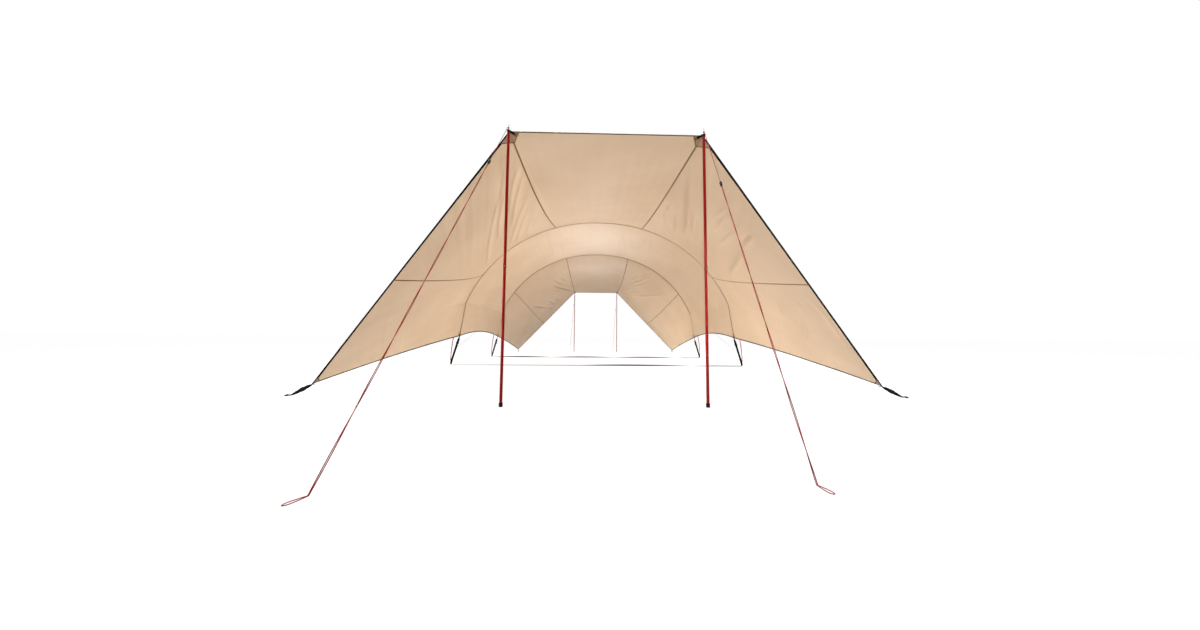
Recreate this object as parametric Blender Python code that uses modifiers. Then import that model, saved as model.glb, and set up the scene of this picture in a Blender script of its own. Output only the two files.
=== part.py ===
"""Tunnel sun shelter: a cotton canopy over two hoops, its ends held up by two pairs of uprights.

Metres, +Z up. The origin is on the ground in the middle of the shelter, and its ends face -Y (front) and +Y
(rear). Left is -X, right is +X.
"""

import math

import bpy
import numpy as np

for old in list(bpy.data.objects):
    bpy.data.objects.remove(old, do_unlink=True)

# Driving dimensions
UPRIGHT_HEIGHT = 1.80  # ground to the straight top edge of the cloth
UPRIGHT_X = 0.65  # half the straight top edge
EDGE_Y = 3.83  # the top edges, from the middle of the shelter
HOOP_Y = 0.97  # the hoops, from the middle of the shelter
HOOP_HALF_WIDTH = 2.24  # a hoop's centreline at the ground
HOOP_RISE = 2.255  # a hoop's centreline at its apex
HOOP_POWER = 2.1  # 2 is an ellipse, and more gives it shoulders
ELBOW_Z = 0.965  # where the sleeve ends and the cloth leaves the hoop
HEM_X, HEM_Z = 2.12, 0.435  # the hem at a hoop
ROOF_SEAM_X = 0.68  # where the roof seam meets a hoop
SIDE_SEAM_X = 1.80  # where the side seam meets a hoop
CORNER = np.array([2.23, 3.36, 0.06])  # the lower corners of the cloth
CORNER_PEG = np.array([2.27, 3.52])  # where a corner strap meets the ground
EDGE_SEAM_SHARE = 0.555  # the side seam, as a share of the way from an upright's top to the corner

CLOTH = 0.004  # modelled thickness of the cloth
GAP = 0.0003  # between pieces that touch
BINDING_WIDTH = 0.012  # webbing folded over the side edges

ROOF_SAG = 0.055  # how far the cloth of a wing pulls in towards the middle of the tunnel
SIDE_SAG = 0.045
HEM_BOW = 0.02  # how far the hem of a wing bows up
BAND_SAG = 0.02  # how far the cloth pulls in between the hoops
BAND_HEM_ARCH = 0.085  # how far the hem rises between the hoops
SAG_AXIS_Z = 0.6  # height of the axis that the cloth is pulled towards

UPRIGHT_Y = EDGE_Y + 0.015  # an upright stands just clear of the cloth
UPRIGHT_RADIUS = 0.0095
JOINT_Z = 0.90  # where the two sections of an upright meet
UPRIGHT_CHAMFER = 0.002
JOINT_COLLAR_RADIUS, JOINT_COLLAR_LENGTH = 0.0103, 0.028
SPIKE_RADIUS = 0.0025
SPIKE_TOP = UPRIGHT_HEIGHT + 0.045
FOOT_RADIUS = 0.0125
FOOT_HEIGHT = 0.026
FOOT_CHAMFER = 0.0015

HOOP_POLE_RADIUS = 0.006
FERRULE_LENGTH = 0.07
FERRULE_SHARE = 0.7  # the radius of a ferrule, as a share of the pole's
FERRULE_STEP = 0.002  # over which the pole narrows to its ferrule
SLEEVE_RADIUS = 0.0095
SLEEVE_BORE = 0.0070
SLEEVE_INSET = CLOTH + GAP + SLEEVE_RADIUS  # from the hoop's centreline to the inside of the cloth

TAB_WIDTH, TAB_THICKNESS, TAB_LENGTH = 0.016, 0.0025, 0.062
TAB_LIP = 0.011  # the tab's end beyond the spike
EYELET_CLEARANCE = 0.0006
TAB_HEADING = math.radians(35)  # a tab runs inwards from the spike, between the top edge and the roof seam
STRAP_WIDTH, STRAP_THICKNESS = 0.020, 0.0025
STRAP_BUCKLE = (0.050, 0.078)  # along a corner strap, from the corner of the cloth
STRAP_BUCKLE_THICKNESS = 0.0095
STRAP_ON_GROUND = 0.040  # the end of a corner strap, lying flat
FOOT_STRAP_WIDTH, FOOT_STRAP_THICKNESS = 0.025, 0.003
FOOT_STRAP_CLEARANCE = 0.0008  # to the seam behind it, because the cloth twists a little beside the seam
FOOT_STRAP_LAP = 0.040  # sewn to the inside of the cloth
FOOT_STRAP_DROP = 0.010  # straight on below the hem, before the strap turns to the foot
# shares of the way from the hem to the foot: where the strap has turned its face to the end, and where it is in
# front of the pole
FOOT_STRAP_TWIST, FOOT_STRAP_AHEAD = 0.20, 0.75
FOOT_STRAP_TWIST_STEPS = 12
FOOT_STRAP_BUCKLE = (0.215, 0.275)  # shares of the way from the hem to the foot
FOOT_STRAP_BUCKLE_THICKNESS = 0.012
FOOT_STRAP_END_Z = 0.014
BUCKLE_STEP = 0.005  # along the strap, from its own thickness to the buckle's
GROUND_STRAP_WIDTH, GROUND_STRAP_THICKNESS = 0.020, 0.0025
# x where a ground strap starts to turn over, x where it lies flat again, and its half turns in between
GROUND_STRAP_TURNS = {"front": (-0.25, 1.75, 1), "rear": (-2.20, 1.90, 3)}

GUY_RADIUS = 0.00175
SLIDER_RADIUS, SLIDER_LENGTH = 0.006, 0.034
STRAND_OFFSET = 0.0022  # each half of the doubled line, from the middle
KNOT_RISE = 0.012  # the line's turn round the spike, above the cloth
GUY_BEND = 0.020  # the line's straight run meets its loop over this length
HOOP_GUY_RADIUS = 0.0015
HOOP_GUY_X = 3.20
HOOP_GUY_LOOP, HOOP_GUY_LOOP_WIDTH, HOOP_GUY_LOOP_GAP = 0.060, 0.012, 0.003
# ground point x, distance ahead of the uprights, slider's share of the way down, heading of the loop in degrees
MAIN_GUYS = {"left": (-0.849, 1.106, 0.19, 247), "right": (0.592, 1.053, 0.27, -80)}
GUY_LOOP, GUY_LOOP_WIDTH = 0.055, 0.006

# How finely the cloth and the hoops are divided
ROOF_STEPS, UPPER_STEPS, LOWER_STEPS = 5, 5, 2
WING_ROWS, BAND_ROWS = 8, 4
GROUND_STRAP_STEPS = 64

SIDES = {"left": -1, "right": 1}
ENDS = {"front": -1, "rear": 1}

shelter = bpy.data.collections.new("sun_shelter")
cutters = bpy.data.collections.new("cutters")
bpy.context.scene.collection.children.link(shelter)
bpy.context.scene.collection.children.link(cutters)


def material(name, colour, roughness, metallic=0.0):
    """A Principled material with one colour, roughness and metallic value."""
    made = bpy.data.materials.new(name)
    made.use_nodes = True
    shader = made.node_tree.nodes["Principled BSDF"]
    shader.inputs["Base Color"].default_value = (*colour, 1.0)
    shader.inputs["Roughness"].default_value = roughness
    shader.inputs["Metallic"].default_value = metallic
    made.diffuse_color = (*colour, 1.0)
    return made


SAND_CLOTH = material("sand_cotton", (0.60, 0.44, 0.29), 0.9)
SLEEVE_CLOTH = material("sleeve_cotton", (0.52, 0.37, 0.24), 0.9)
BLACK_WEBBING = material("black_webbing", (0.012, 0.012, 0.012), 0.75)
RED_ALUMINIUM = material("red_anodised", (0.30, 0.008, 0.006), 0.32, 0.85)
BLACK_RUBBER = material("black_rubber", (0.015, 0.013, 0.012), 0.7)
RED_LINE = material("maroon_line", (0.22, 0.012, 0.015), 0.8)
PALE_LINE = material("pale_line", (0.55, 0.50, 0.52), 0.8)


def add(name, data, finish):
    """Put a mesh or curve in the shelter's collection as one named object."""
    made = bpy.data.objects.new(name, data)
    made.data.materials.append(finish)
    shelter.objects.link(made)
    return made


def mesh_of(name, points, faces):
    mesh = bpy.data.meshes.new(name)
    mesh.from_pydata([tuple(map(float, p)) for p in points], [], faces)
    mesh.validate()
    return mesh


def solidify(made, thickness, offset):
    wall = made.modifiers.new("wall", "SOLIDIFY")
    wall.thickness = thickness
    wall.offset = offset


def pulled_in(grid, near=(), far=(), by=GAP):
    """Move the first or last line of a grid of points inwards, so that its neighbour stays clear."""
    grid = grid.copy()
    for axis in near:
        lines = np.moveaxis(grid, axis, 0)
        step = lines[1] - lines[0]
        lines[0] += by * step / np.linalg.norm(step, axis=-1, keepdims=True)
    for axis in far:
        lines = np.moveaxis(grid, axis, 0)
        step = lines[-2] - lines[-1]
        lines[-1] += by * step / np.linalg.norm(step, axis=-1, keepdims=True)
    return grid


def sheet(name, grid, finish, thickness=CLOTH):
    """A piece of cloth from a grid of points on its inside face, thickened outwards."""
    rows, columns = grid.shape[:2]
    faces = []
    for r in range(rows - 1):
        for c in range(columns - 1):
            corner = r * columns + c
            faces.append((corner, corner + 1, corner + columns + 1, corner + columns))
    middle = grid[rows // 2, columns // 2]
    across = grid[rows // 2, columns // 2 - 1] - middle
    along = grid[rows // 2 - 1, columns // 2] - middle
    facing = np.dot(np.cross(across, along), middle - np.array([0.0, middle[1], SAG_AXIS_Z]))
    if facing < 0:
        faces = [face[::-1] for face in faces]
    made = add(name, mesh_of(name, grid.reshape(-1, 3), faces), finish)
    solidify(made, thickness, 1.0)
    return made


def hoop_angle_at(x=None, z=None):
    """The angle from the apex at which a hoop's centreline has this x, or this z."""
    if x is not None:
        return math.asin((x / HOOP_HALF_WIDTH) ** (HOOP_POWER / 2))
    return math.acos((z / HOOP_RISE) ** (HOOP_POWER / 2))


def hoop_points(angles, outset=0.0):
    """Points (x, z) of the right half of a hoop's centreline, moved outwards along its normal by outset."""
    angles = np.asarray(angles, float)
    x = HOOP_HALF_WIDTH * np.sin(angles) ** (2 / HOOP_POWER)
    z = HOOP_RISE * np.clip(np.cos(angles), 0.0, None) ** (2 / HOOP_POWER)
    normal = np.stack(
        [
            (x / HOOP_HALF_WIDTH) ** (HOOP_POWER - 1) / HOOP_HALF_WIDTH,
            (z / HOOP_RISE) ** (HOOP_POWER - 1) / HOOP_RISE,
        ],
        axis=-1,
    )
    normal /= np.linalg.norm(normal, axis=-1, keepdims=True)
    return np.stack([x, z], axis=-1) + outset * normal


ROOF_ANGLE = hoop_angle_at(x=ROOF_SEAM_X)
SIDE_ANGLE = hoop_angle_at(x=SIDE_SEAM_X)
ELBOW_ANGLE = hoop_angle_at(z=ELBOW_Z)
ROOF_ANGLES = np.linspace(0, ROOF_ANGLE, ROOF_STEPS + 1)
UPPER_ANGLES = np.linspace(ROOF_ANGLE, SIDE_ANGLE, UPPER_STEPS + 1)
LOWER_ANGLES = np.linspace(SIDE_ANGLE, ELBOW_ANGLE, LOWER_STEPS + 1)
SLEEVE_ANGLES = np.concatenate([ROOF_ANGLES, UPPER_ANGLES[1:], LOWER_ANGLES[1:]])


def sag_share(v):
    """How much of its sag a wing has at the share v of the way from its end to the hoop: 1 at two thirds."""
    return 6.75 * v**2 * (1 - v)


# The roof's rise per metre behind the top edge, and the heights of what lies under its corners
FIRST_ROW = 1 / WING_ROWS
SEAM_RISE = hoop_points([ROOF_ANGLE], -SLEEVE_INSET)[0][1] - UPRIGHT_HEIGHT
ROOF_RISE = (SEAM_RISE - ROOF_SAG * sag_share(FIRST_ROW) / FIRST_ROW) / (EDGE_Y - HOOP_Y)
TAB_Z = UPRIGHT_HEIGHT - ROOF_RISE * (UPRIGHT_Y - EDGE_Y) - 2 * GAP - TAB_THICKNESS / 2
SHOULDER_Z = TAB_Z - TAB_THICKNESS / 2 - ROOF_RISE * UPRIGHT_RADIUS - GAP


def arch_lines(y):
    """The cloth's inside line along the hoop at y, right half: its roof, upper and lower stretches."""

    def placed(flat):
        return np.stack([flat[:, 0], np.full(len(flat), y), flat[:, 1]], axis=-1)

    roof = placed(hoop_points(ROOF_ANGLES, -SLEEVE_INSET))
    upper = placed(hoop_points(UPPER_ANGLES, -SLEEVE_INSET))
    lower = placed(hoop_points(LOWER_ANGLES, -SLEEVE_INSET))
    hem = np.array([HEM_X, y, HEM_Z])
    below = lower[-1] + np.linspace(0, 1, LOWER_STEPS + 1)[1:, None] * (hem - lower[-1])
    return roof, upper, np.concatenate([lower, below])


def edge_lines(y_side):
    """The end of the cloth, right half: along the top edge, then straight down to the corner in two stretches."""
    top = np.array([UPRIGHT_X, y_side * EDGE_Y, UPRIGHT_HEIGHT])
    corner = CORNER * np.array([1, y_side, 1])
    middle = np.array([0.0, y_side * EDGE_Y, UPRIGHT_HEIGHT])
    seam = top + EDGE_SEAM_SHARE * (corner - top)
    roof = middle + np.linspace(0, 1, ROOF_STEPS + 1)[:, None] * (top - middle)
    upper = top + np.linspace(0, 1, UPPER_STEPS + 1)[:, None] * (seam - top)
    lower = seam + np.linspace(0, 1, 2 * LOWER_STEPS + 1)[:, None] * (corner - seam)
    return roof, upper, lower


def wing_surface(edge, arch, v, sag, bow):
    """The cloth of a wing at the share v of the way from its end (0) to the hoop (1).

    Straight lines join the end to the hoop. They sag towards the tunnel's axis by a share of sag, and rise by
    bow times a parabola.
    """
    flat = (1 - v) * edge + v * arch
    inward = np.stack([-flat[..., 0], np.zeros(flat.shape[:-1]), SAG_AXIS_Z - flat[..., 2]], axis=-1)
    inward /= np.linalg.norm(inward, axis=-1, keepdims=True)
    surface = flat + sag * sag_share(v) * inward
    surface[..., 2] += (bow * 4 * v * (1 - v))[..., 0]
    return surface


def wing_grid(edge, arch, sag, bow, bound):
    """Rows of the wing from its end to the hoop. The first row starts behind the binding, where there is one."""
    start = np.zeros(len(edge))
    if bound:
        start = (BINDING_WIDTH + GAP) / np.linalg.norm(arch - edge, axis=-1)
    share = np.linspace(0, 1, WING_ROWS + 1)[:, None]
    v = (start + share * (1 - start))[..., None]
    return wing_surface(edge, arch, v, sag[:, None], bow[:, None])


def mirrored(points, side):
    return points * np.array([side, 1, 1])


def make_wing(end, y_side):
    """One end of the canopy: a roof panel between the uprights, and two panels down each side."""
    edge_roof, edge_upper, edge_lower = edge_lines(y_side)
    arch_roof, arch_upper, arch_lower = arch_lines(y_side * HOOP_Y)
    roof_sag = np.full(len(edge_roof), ROOF_SAG)
    upper_sag = np.linspace(ROOF_SAG, SIDE_SAG, len(edge_upper))
    lower_sag = SIDE_SAG * np.linspace(1, 0, len(edge_lower)) ** 2
    hem_bow = np.linspace(0, HEM_BOW, len(edge_lower))
    none = np.zeros(len(edge_upper))

    half = wing_grid(edge_roof, arch_roof, roof_sag, np.zeros(len(edge_roof)), False)
    roof = np.concatenate([mirrored(half, -1)[:, :0:-1], half], axis=1)
    sheet(f"{end}_roof_panel", pulled_in(roof, near=(1,), far=(0, 1)), SAND_CLOTH)

    upper = wing_grid(edge_upper, arch_upper, upper_sag, none, True)
    lower = wing_grid(edge_lower, arch_lower, lower_sag, hem_bow, True)
    edge = np.concatenate([edge_upper, edge_lower[1:]])
    arch = np.concatenate([arch_upper, arch_lower[1:]])
    width = (BINDING_WIDTH / np.linalg.norm(arch - edge, axis=-1))[:, None]
    flat = np.zeros((len(edge), 1))
    binding = np.stack([edge, wing_surface(edge, arch, width, flat, flat)])
    for side, sign in SIDES.items():
        sheet(f"{end}_{side}_upper_panel", mirrored(pulled_in(upper, near=(1,), far=(0, 1)), sign), SAND_CLOTH)
        sheet(f"{end}_{side}_lower_panel", mirrored(pulled_in(lower, near=(1,), far=(0,)), sign), SAND_CLOTH)
        sheet(f"{end}_{side}_edge_webbing", mirrored(pulled_in(binding, near=(1,)), sign), BLACK_WEBBING)


def make_band():
    """The middle of the canopy, one piece over both hoops, with its hem arched up between them."""
    rows = np.linspace(-1, 1, BAND_ROWS + 1)[:, None]
    roof, upper, lower = arch_lines(0.0)
    half = np.concatenate([roof, upper[1:], lower[1:]])
    arch = np.concatenate([mirrored(half, -1)[:0:-1], half])
    below_elbow = np.clip((ELBOW_Z - arch[:, 2]) / (ELBOW_Z - HEM_Z), 0, 1)
    rise = (1 - rows**2) * BAND_HEM_ARCH * below_elbow
    pull = (1 - rows**2) * BAND_SAG * np.clip((arch[:, 2] - HEM_Z) / (ELBOW_Z - HEM_Z), 0, 1)
    inward = np.stack([-arch[:, 0], np.zeros(len(arch)), SAG_AXIS_Z - arch[:, 2]], axis=-1)
    inward /= np.linalg.norm(inward, axis=-1, keepdims=True)
    grid = arch[None] + pull[..., None] * inward
    grid[..., 1] = rows * HOOP_Y
    grid[..., 2] += rise
    sheet("tunnel_band", pulled_in(grid, near=(0,), far=(0,)), SAND_CLOTH)


def round_rod(name, points, radius, finish, scales=None):
    """A rod or line of round section through the points, its radius scaled point by point."""
    curve = bpy.data.curves.new(name, "CURVE")
    curve.dimensions = "3D"
    curve.bevel_depth = radius
    curve.bevel_resolution = 2
    curve.use_fill_caps = True
    spline = curve.splines.new("POLY")
    spline.points.add(len(points) - 1)
    scales = np.ones(len(points)) if scales is None else scales
    for point, place, scale in zip(spline.points, points, scales):
        point.co = (*map(float, place), 1.0)
        point.radius = float(scale)
    return add(name, curve, finish)


def both_halves(flat):
    """A hoop's points from its left foot over the apex to its right foot, from its right half."""
    return np.concatenate([(flat * np.array([-1, 1]))[:0:-1], flat])


def make_hoop(end, y):
    """A hoop of tubing from foot to foot, with a thinner ferrule at each end, and the sleeve round it."""
    ferrule_angle = hoop_angle_at(z=FERRULE_LENGTH)
    free = np.linspace(ELBOW_ANGLE, ferrule_angle, 4)[1:]
    step = hoop_angle_at(z=FERRULE_LENGTH - FERRULE_STEP)
    half = hoop_points(np.concatenate([SLEEVE_ANGLES, free, [step, math.pi / 2]]))
    scale = np.ones(len(half))
    scale[-2:] = FERRULE_SHARE
    flat = both_halves(half)
    points = np.stack([flat[:, 0], np.full(len(flat), y), flat[:, 1]], axis=-1)
    scales = np.concatenate([scale[:0:-1], scale])
    round_rod(f"{end}_hoop_pole", points, HOOP_POLE_RADIUS, RED_ALUMINIUM, scales)

    centre = both_halves(hoop_points(SLEEVE_ANGLES))
    outer = both_halves(hoop_points(SLEEVE_ANGLES, 1.0)) - centre
    turn = np.linspace(0, 2 * math.pi, 9)[:-1] + math.pi / 8
    ring_in = np.cos(turn)[None, :, None] * outer[:, None, :]
    x = centre[:, None, 0] + SLEEVE_RADIUS * ring_in[..., 0]
    z = centre[:, None, 1] + SLEEVE_RADIUS * ring_in[..., 1]
    across = y + SLEEVE_RADIUS * np.sin(turn)[None, :] + np.zeros_like(x)
    rings = np.stack([x, across, z], axis=-1)
    sides = len(turn)
    faces = []
    for ring in range(len(rings) - 1):
        for k in range(sides):
            following = (k + 1) % sides
            here, ahead = ring * sides, (ring + 1) * sides
            faces.append((here + k, ahead + k, ahead + following, here + following))
    sleeve = add(f"{end}_hoop_sleeve", mesh_of("sleeve", rings.reshape(-1, 3), faces), SLEEVE_CLOTH)
    solidify(sleeve, SLEEVE_RADIUS - SLEEVE_BORE, -1.0)


def turned(name, profile, place, finish, steps=16):
    """A turned piece from its outline (radius, height), listed from top to bottom."""
    points = [(radius, 0.0, height) for radius, height in profile]
    edges = [(k, k + 1) for k in range(len(points) - 1)]
    mesh = bpy.data.meshes.new(name)
    mesh.from_pydata(points, edges, [])
    made = add(name, mesh, finish)
    made.location = place
    screw = made.modifiers.new("turn", "SCREW")
    screw.steps = steps
    screw.render_steps = steps
    screw.use_merge_vertices = True
    screw.merge_threshold = 0.0001
    screw.use_smooth_shade = True
    return made


def make_upright(end, side, y_side, x_side):
    """A straight two-section tube on a rubber foot, with a spike on top that the cloth hangs on."""
    place = (x_side * UPRIGHT_X, y_side * UPRIGHT_Y, 0.0)
    collar_bottom = JOINT_Z - JOINT_COLLAR_LENGTH
    outline = [
        (0.0, SPIKE_TOP),
        (SPIKE_RADIUS / 2, SPIKE_TOP),
        (SPIKE_RADIUS, SPIKE_TOP - SPIKE_RADIUS),
        (SPIKE_RADIUS, SHOULDER_Z),
        (UPRIGHT_RADIUS - UPRIGHT_CHAMFER, SHOULDER_Z),
        (UPRIGHT_RADIUS, SHOULDER_Z - UPRIGHT_CHAMFER),
        (UPRIGHT_RADIUS, JOINT_Z + UPRIGHT_CHAMFER),
        (JOINT_COLLAR_RADIUS, JOINT_Z),
        (JOINT_COLLAR_RADIUS, collar_bottom),
        (UPRIGHT_RADIUS, collar_bottom - UPRIGHT_CHAMFER),
        (UPRIGHT_RADIUS, FOOT_HEIGHT + GAP),
        (0.0, FOOT_HEIGHT + GAP),
    ]
    turned(f"{end}_{side}_upright", outline, place, RED_ALUMINIUM)
    foot = [
        (0.0, FOOT_HEIGHT),
        (FOOT_RADIUS - FOOT_CHAMFER, FOOT_HEIGHT),
        (FOOT_RADIUS, FOOT_HEIGHT - 2 * FOOT_CHAMFER),
        (FOOT_RADIUS, 2 * FOOT_CHAMFER),
        (FOOT_RADIUS - FOOT_CHAMFER, 0.0),
        (0.0, 0.0),
    ]
    turned(f"{end}_{side}_upright_foot", foot, place, BLACK_RUBBER)


def make_top_tab(end, side, y_side, x_side):
    """Webbing tab sewn under the roof panel's corner, with the eyelet that sits on an upright's spike."""
    roof_slope = math.atan(ROOF_RISE * math.cos(TAB_HEADING))
    spike = np.array([x_side * UPRIGHT_X, y_side * UPRIGHT_Y, TAB_Z])
    run = np.array(
        [
            -x_side * math.sin(TAB_HEADING) * math.cos(roof_slope),
            -y_side * math.cos(TAB_HEADING) * math.cos(roof_slope),
            math.sin(roof_slope),
        ]
    )
    width = np.cross(run, [0.0, 0.0, 1.0])
    width /= np.linalg.norm(width)
    up = np.cross(width, run)
    corners = []
    for along in (-TAB_LIP, TAB_LENGTH):
        for across in (-TAB_WIDTH / 2, TAB_WIDTH / 2):
            for high in (-TAB_THICKNESS / 2, TAB_THICKNESS / 2):
                corners.append(spike + along * run + across * width + high * up)
    faces = [(0, 1, 3, 2), (4, 6, 7, 5), (0, 4, 5, 1), (2, 3, 7, 6), (1, 5, 7, 3), (0, 2, 6, 4)]
    tab = add(f"{end}_{side}_top_tab", mesh_of("tab", corners, faces), BLACK_WEBBING)
    bpy.ops.mesh.primitive_cylinder_add(
        vertices=12,
        radius=SPIKE_RADIUS + EYELET_CLEARANCE,
        depth=TAB_WIDTH,
        location=tuple(map(float, spike)),
    )
    punch = bpy.context.object
    punch.name = f"{end}_{side}_eyelet_punch"
    for collection in list(punch.users_collection):
        collection.objects.unlink(punch)
    cutters.objects.link(punch)
    punch.hide_render = True
    punch.display_type = "WIRE"
    eyelet = tab.modifiers.new("eyelet", "BOOLEAN")
    eyelet.operation = "DIFFERENCE"
    eyelet.solver = "EXACT"
    eyelet.object = punch


def strip(name, centre, thickness, width, place, heading, finish):
    """Flat webbing seen from its edge: a centreline (distance, height) thickened, then extruded to its width.

    place is the centreline's zero point in the world, and heading is the compass angle of its run in the plan.
    """
    centre = np.asarray(centre, float)
    run = np.gradient(centre, axis=0)
    run /= np.linalg.norm(run, axis=1, keepdims=True)
    normal = np.stack([-run[:, 1], run[:, 0]], axis=-1)
    half = np.asarray(thickness, float).reshape(-1, 1) / 2
    outline = np.concatenate([centre + normal * half, (centre - normal * half)[::-1]])
    curve = bpy.data.curves.new(name, "CURVE")
    curve.dimensions = "2D"
    curve.fill_mode = "BOTH"
    curve.extrude = width / 2
    spline = curve.splines.new("POLY")
    spline.points.add(len(outline) - 1)
    spline.use_cyclic_u = True
    for point, (distance, height) in zip(spline.points, outline):
        point.co = (float(distance), float(height), 0.0, 1.0)
    made = add(name, curve, finish)
    made.location = place
    made.rotation_euler = (math.pi / 2, 0.0, heading)
    return made


def make_corner_strap(end, side, y_side, x_side):
    """Webbing from under a corner of the cloth, through a buckle, to a loop that lies on the ground."""
    start = CORNER * np.array([x_side, y_side, 1])
    to_peg = CORNER_PEG * np.array([x_side, y_side]) - start[:2]
    reach = np.linalg.norm(to_peg)
    landing = reach - STRAP_ON_GROUND
    top = CORNER[2] - GAP - STRAP_THICKNESS / 2
    ground = STRAP_THICKNESS / 2
    near, far = STRAP_BUCKLE
    stations = np.array([-CLOTH, near - BUCKLE_STEP, near, far, far + BUCKLE_STEP, landing, reach])
    heights = top - np.clip(stations, 0.0, landing) * (top - ground) / landing
    thick = np.full(len(stations), STRAP_THICKNESS)
    thick[2:4] = STRAP_BUCKLE_THICKNESS
    strip(
        f"{end}_{side}_corner_strap",
        np.column_stack([stations, heights]),
        thick,
        STRAP_WIDTH,
        (float(start[0]), float(start[1]), 0.0),
        math.atan2(to_peg[1], to_peg[0]),
        BLACK_WEBBING,
    )


def make_foot_strap(end, side, y, x_side):
    """Webbing from the inside of the hem at a hoop down to the front of that hoop's foot, with a buckle near its top.

    Below the hem it turns by a quarter, so that its face looks out of the shelter's end.
    """
    ferrule = HOOP_POLE_RADIUS * FERRULE_SHARE
    elbow_x = hoop_points([ELBOW_ANGLE], -SLEEVE_INSET)[0][0]
    lean = np.array([HEM_X - elbow_x, HEM_Z - ELBOW_Z])
    lean /= np.linalg.norm(lean)
    inset = np.array([lean[1], -lean[0]]) * (FOOT_STRAP_CLEARANCE + FOOT_STRAP_THICKNESS / 2)
    turn = np.array([HEM_X, HEM_Z]) + inset + FOOT_STRAP_DROP * lean
    lap = turn - FOOT_STRAP_LAP * lean
    foot = np.array([HOOP_HALF_WIDTH - FOOT_STRAP_WIDTH / 3, FOOT_STRAP_END_Z])
    low = foot + np.array([-FOOT_STRAP_THICKNESS, 2 * FOOT_STRAP_END_Z])
    near, far = FOOT_STRAP_BUCKLE
    step = BUCKLE_STEP / np.linalg.norm(low - turn)
    twist = np.linspace(0, FOOT_STRAP_TWIST, FOOT_STRAP_TWIST_STEPS + 1)
    share = np.concatenate([[0.0], twist, [near - step, near, far, far + step, FOOT_STRAP_AHEAD, 1.0, 1.0]])
    flat = turn + (low - turn) * share[:, None]
    flat[0], flat[-1] = lap, foot
    ahead = math.copysign(ferrule + GAP + FOOT_STRAP_THICKNESS / 2, y) * np.clip(share / FOOT_STRAP_AHEAD, 0, 1)
    centre = np.stack([x_side * flat[:, 0], y + ahead, flat[:, 1]], axis=-1)
    thick = np.full(len(share), FOOT_STRAP_THICKNESS)
    thick[(share >= near) & (share <= far)] = FOOT_STRAP_BUCKLE_THICKNESS
    angle = (np.clip(share / FOOT_STRAP_TWIST, 0, 1) * math.pi / 2)[:, None]
    along = np.gradient(centre, axis=0)
    along /= np.linalg.norm(along, axis=1, keepdims=True)
    wide = np.array([0.0, 1.0, 0.0]) - along * along[:, 1:2]
    wide /= np.linalg.norm(wide, axis=1, keepdims=True)
    normal = np.cross(along, wide)
    wide, normal = wide * np.cos(angle) + normal * np.sin(angle), normal * np.cos(angle) - wide * np.sin(angle)
    corners = np.array([(-1, -1), (1, -1), (1, 1), (-1, 1)]) / 2
    rings = centre[:, None] + corners[None, :, :1] * FOOT_STRAP_WIDTH * wide[:, None]
    rings += corners[None, :, 1:] * thick[:, None, None] * normal[:, None]
    last = 4 * (len(share) - 1)
    faces = [(0, 3, 2, 1), (last, last + 1, last + 2, last + 3)]
    for ring in range(0, last, 4):
        for k in range(4):
            a, b = ring + k, ring + (k + 1) % 4
            faces += [(a, b, b + 4), (a, b + 4, a + 4)]
    add(f"{end}_hoop_{side}_foot_strap", mesh_of("foot_strap", rings.reshape(-1, 3), faces), BLACK_WEBBING)


def make_ground_strap(end, y):
    """Webbing along the ground from foot to foot of a hoop, which has turned over on itself."""
    reach = HOOP_HALF_WIDTH - HOOP_POLE_RADIUS * FERRULE_SHARE - GAP
    steps = GROUND_STRAP_STEPS
    x = np.linspace(-reach, reach, steps + 1)
    turn_start, turn_end, half_turns = GROUND_STRAP_TURNS[end]
    turn = np.interp(x, [turn_start, turn_end], [0, half_turns * math.pi])
    wide, thin = GROUND_STRAP_WIDTH / 2, GROUND_STRAP_THICKNESS / 2
    lift = wide * np.abs(np.sin(turn)) + thin * np.abs(np.cos(turn))
    corners = np.array([(-wide, -thin), (wide, -thin), (wide, thin), (-wide, thin)])
    across = corners[None, :, 0] * np.cos(turn)[:, None] - corners[None, :, 1] * np.sin(turn)[:, None]
    high = corners[None, :, 0] * np.sin(turn)[:, None] + corners[None, :, 1] * np.cos(turn)[:, None]
    rings = np.stack([x[:, None] + 0 * across, y + across, lift[:, None] + high], axis=-1)
    faces = [(0, 3, 2, 1), tuple(4 * steps + k for k in range(4))]
    for ring in range(steps):
        for k in range(4):
            following = (k + 1) % 4
            faces.append((4 * ring + k, 4 * ring + following, 4 * ring + 4 + following, 4 * ring + 4 + k))
    add(f"{end}_ground_strap", mesh_of("ground_strap", rings.reshape(-1, 3), faces), BLACK_WEBBING)


def loop_points(place, heading, length, width, height, start_gap, count=7):
    """A long loop lying flat: a teardrop that leaves place on one side and comes back on the other."""
    phase = np.linspace(0, 1, count)
    along = length * np.sin(math.pi * phase) ** 0.8
    side = -start_gap * np.cos(math.pi * phase) - width * np.sin(2 * math.pi * phase)
    ahead = np.array([math.cos(heading), math.sin(heading)])
    aside = np.array([-ahead[1], ahead[0]])
    flat = place + along[:, None] * ahead + side[:, None] * aside
    return np.column_stack([flat, np.full(count, height)])


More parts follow.
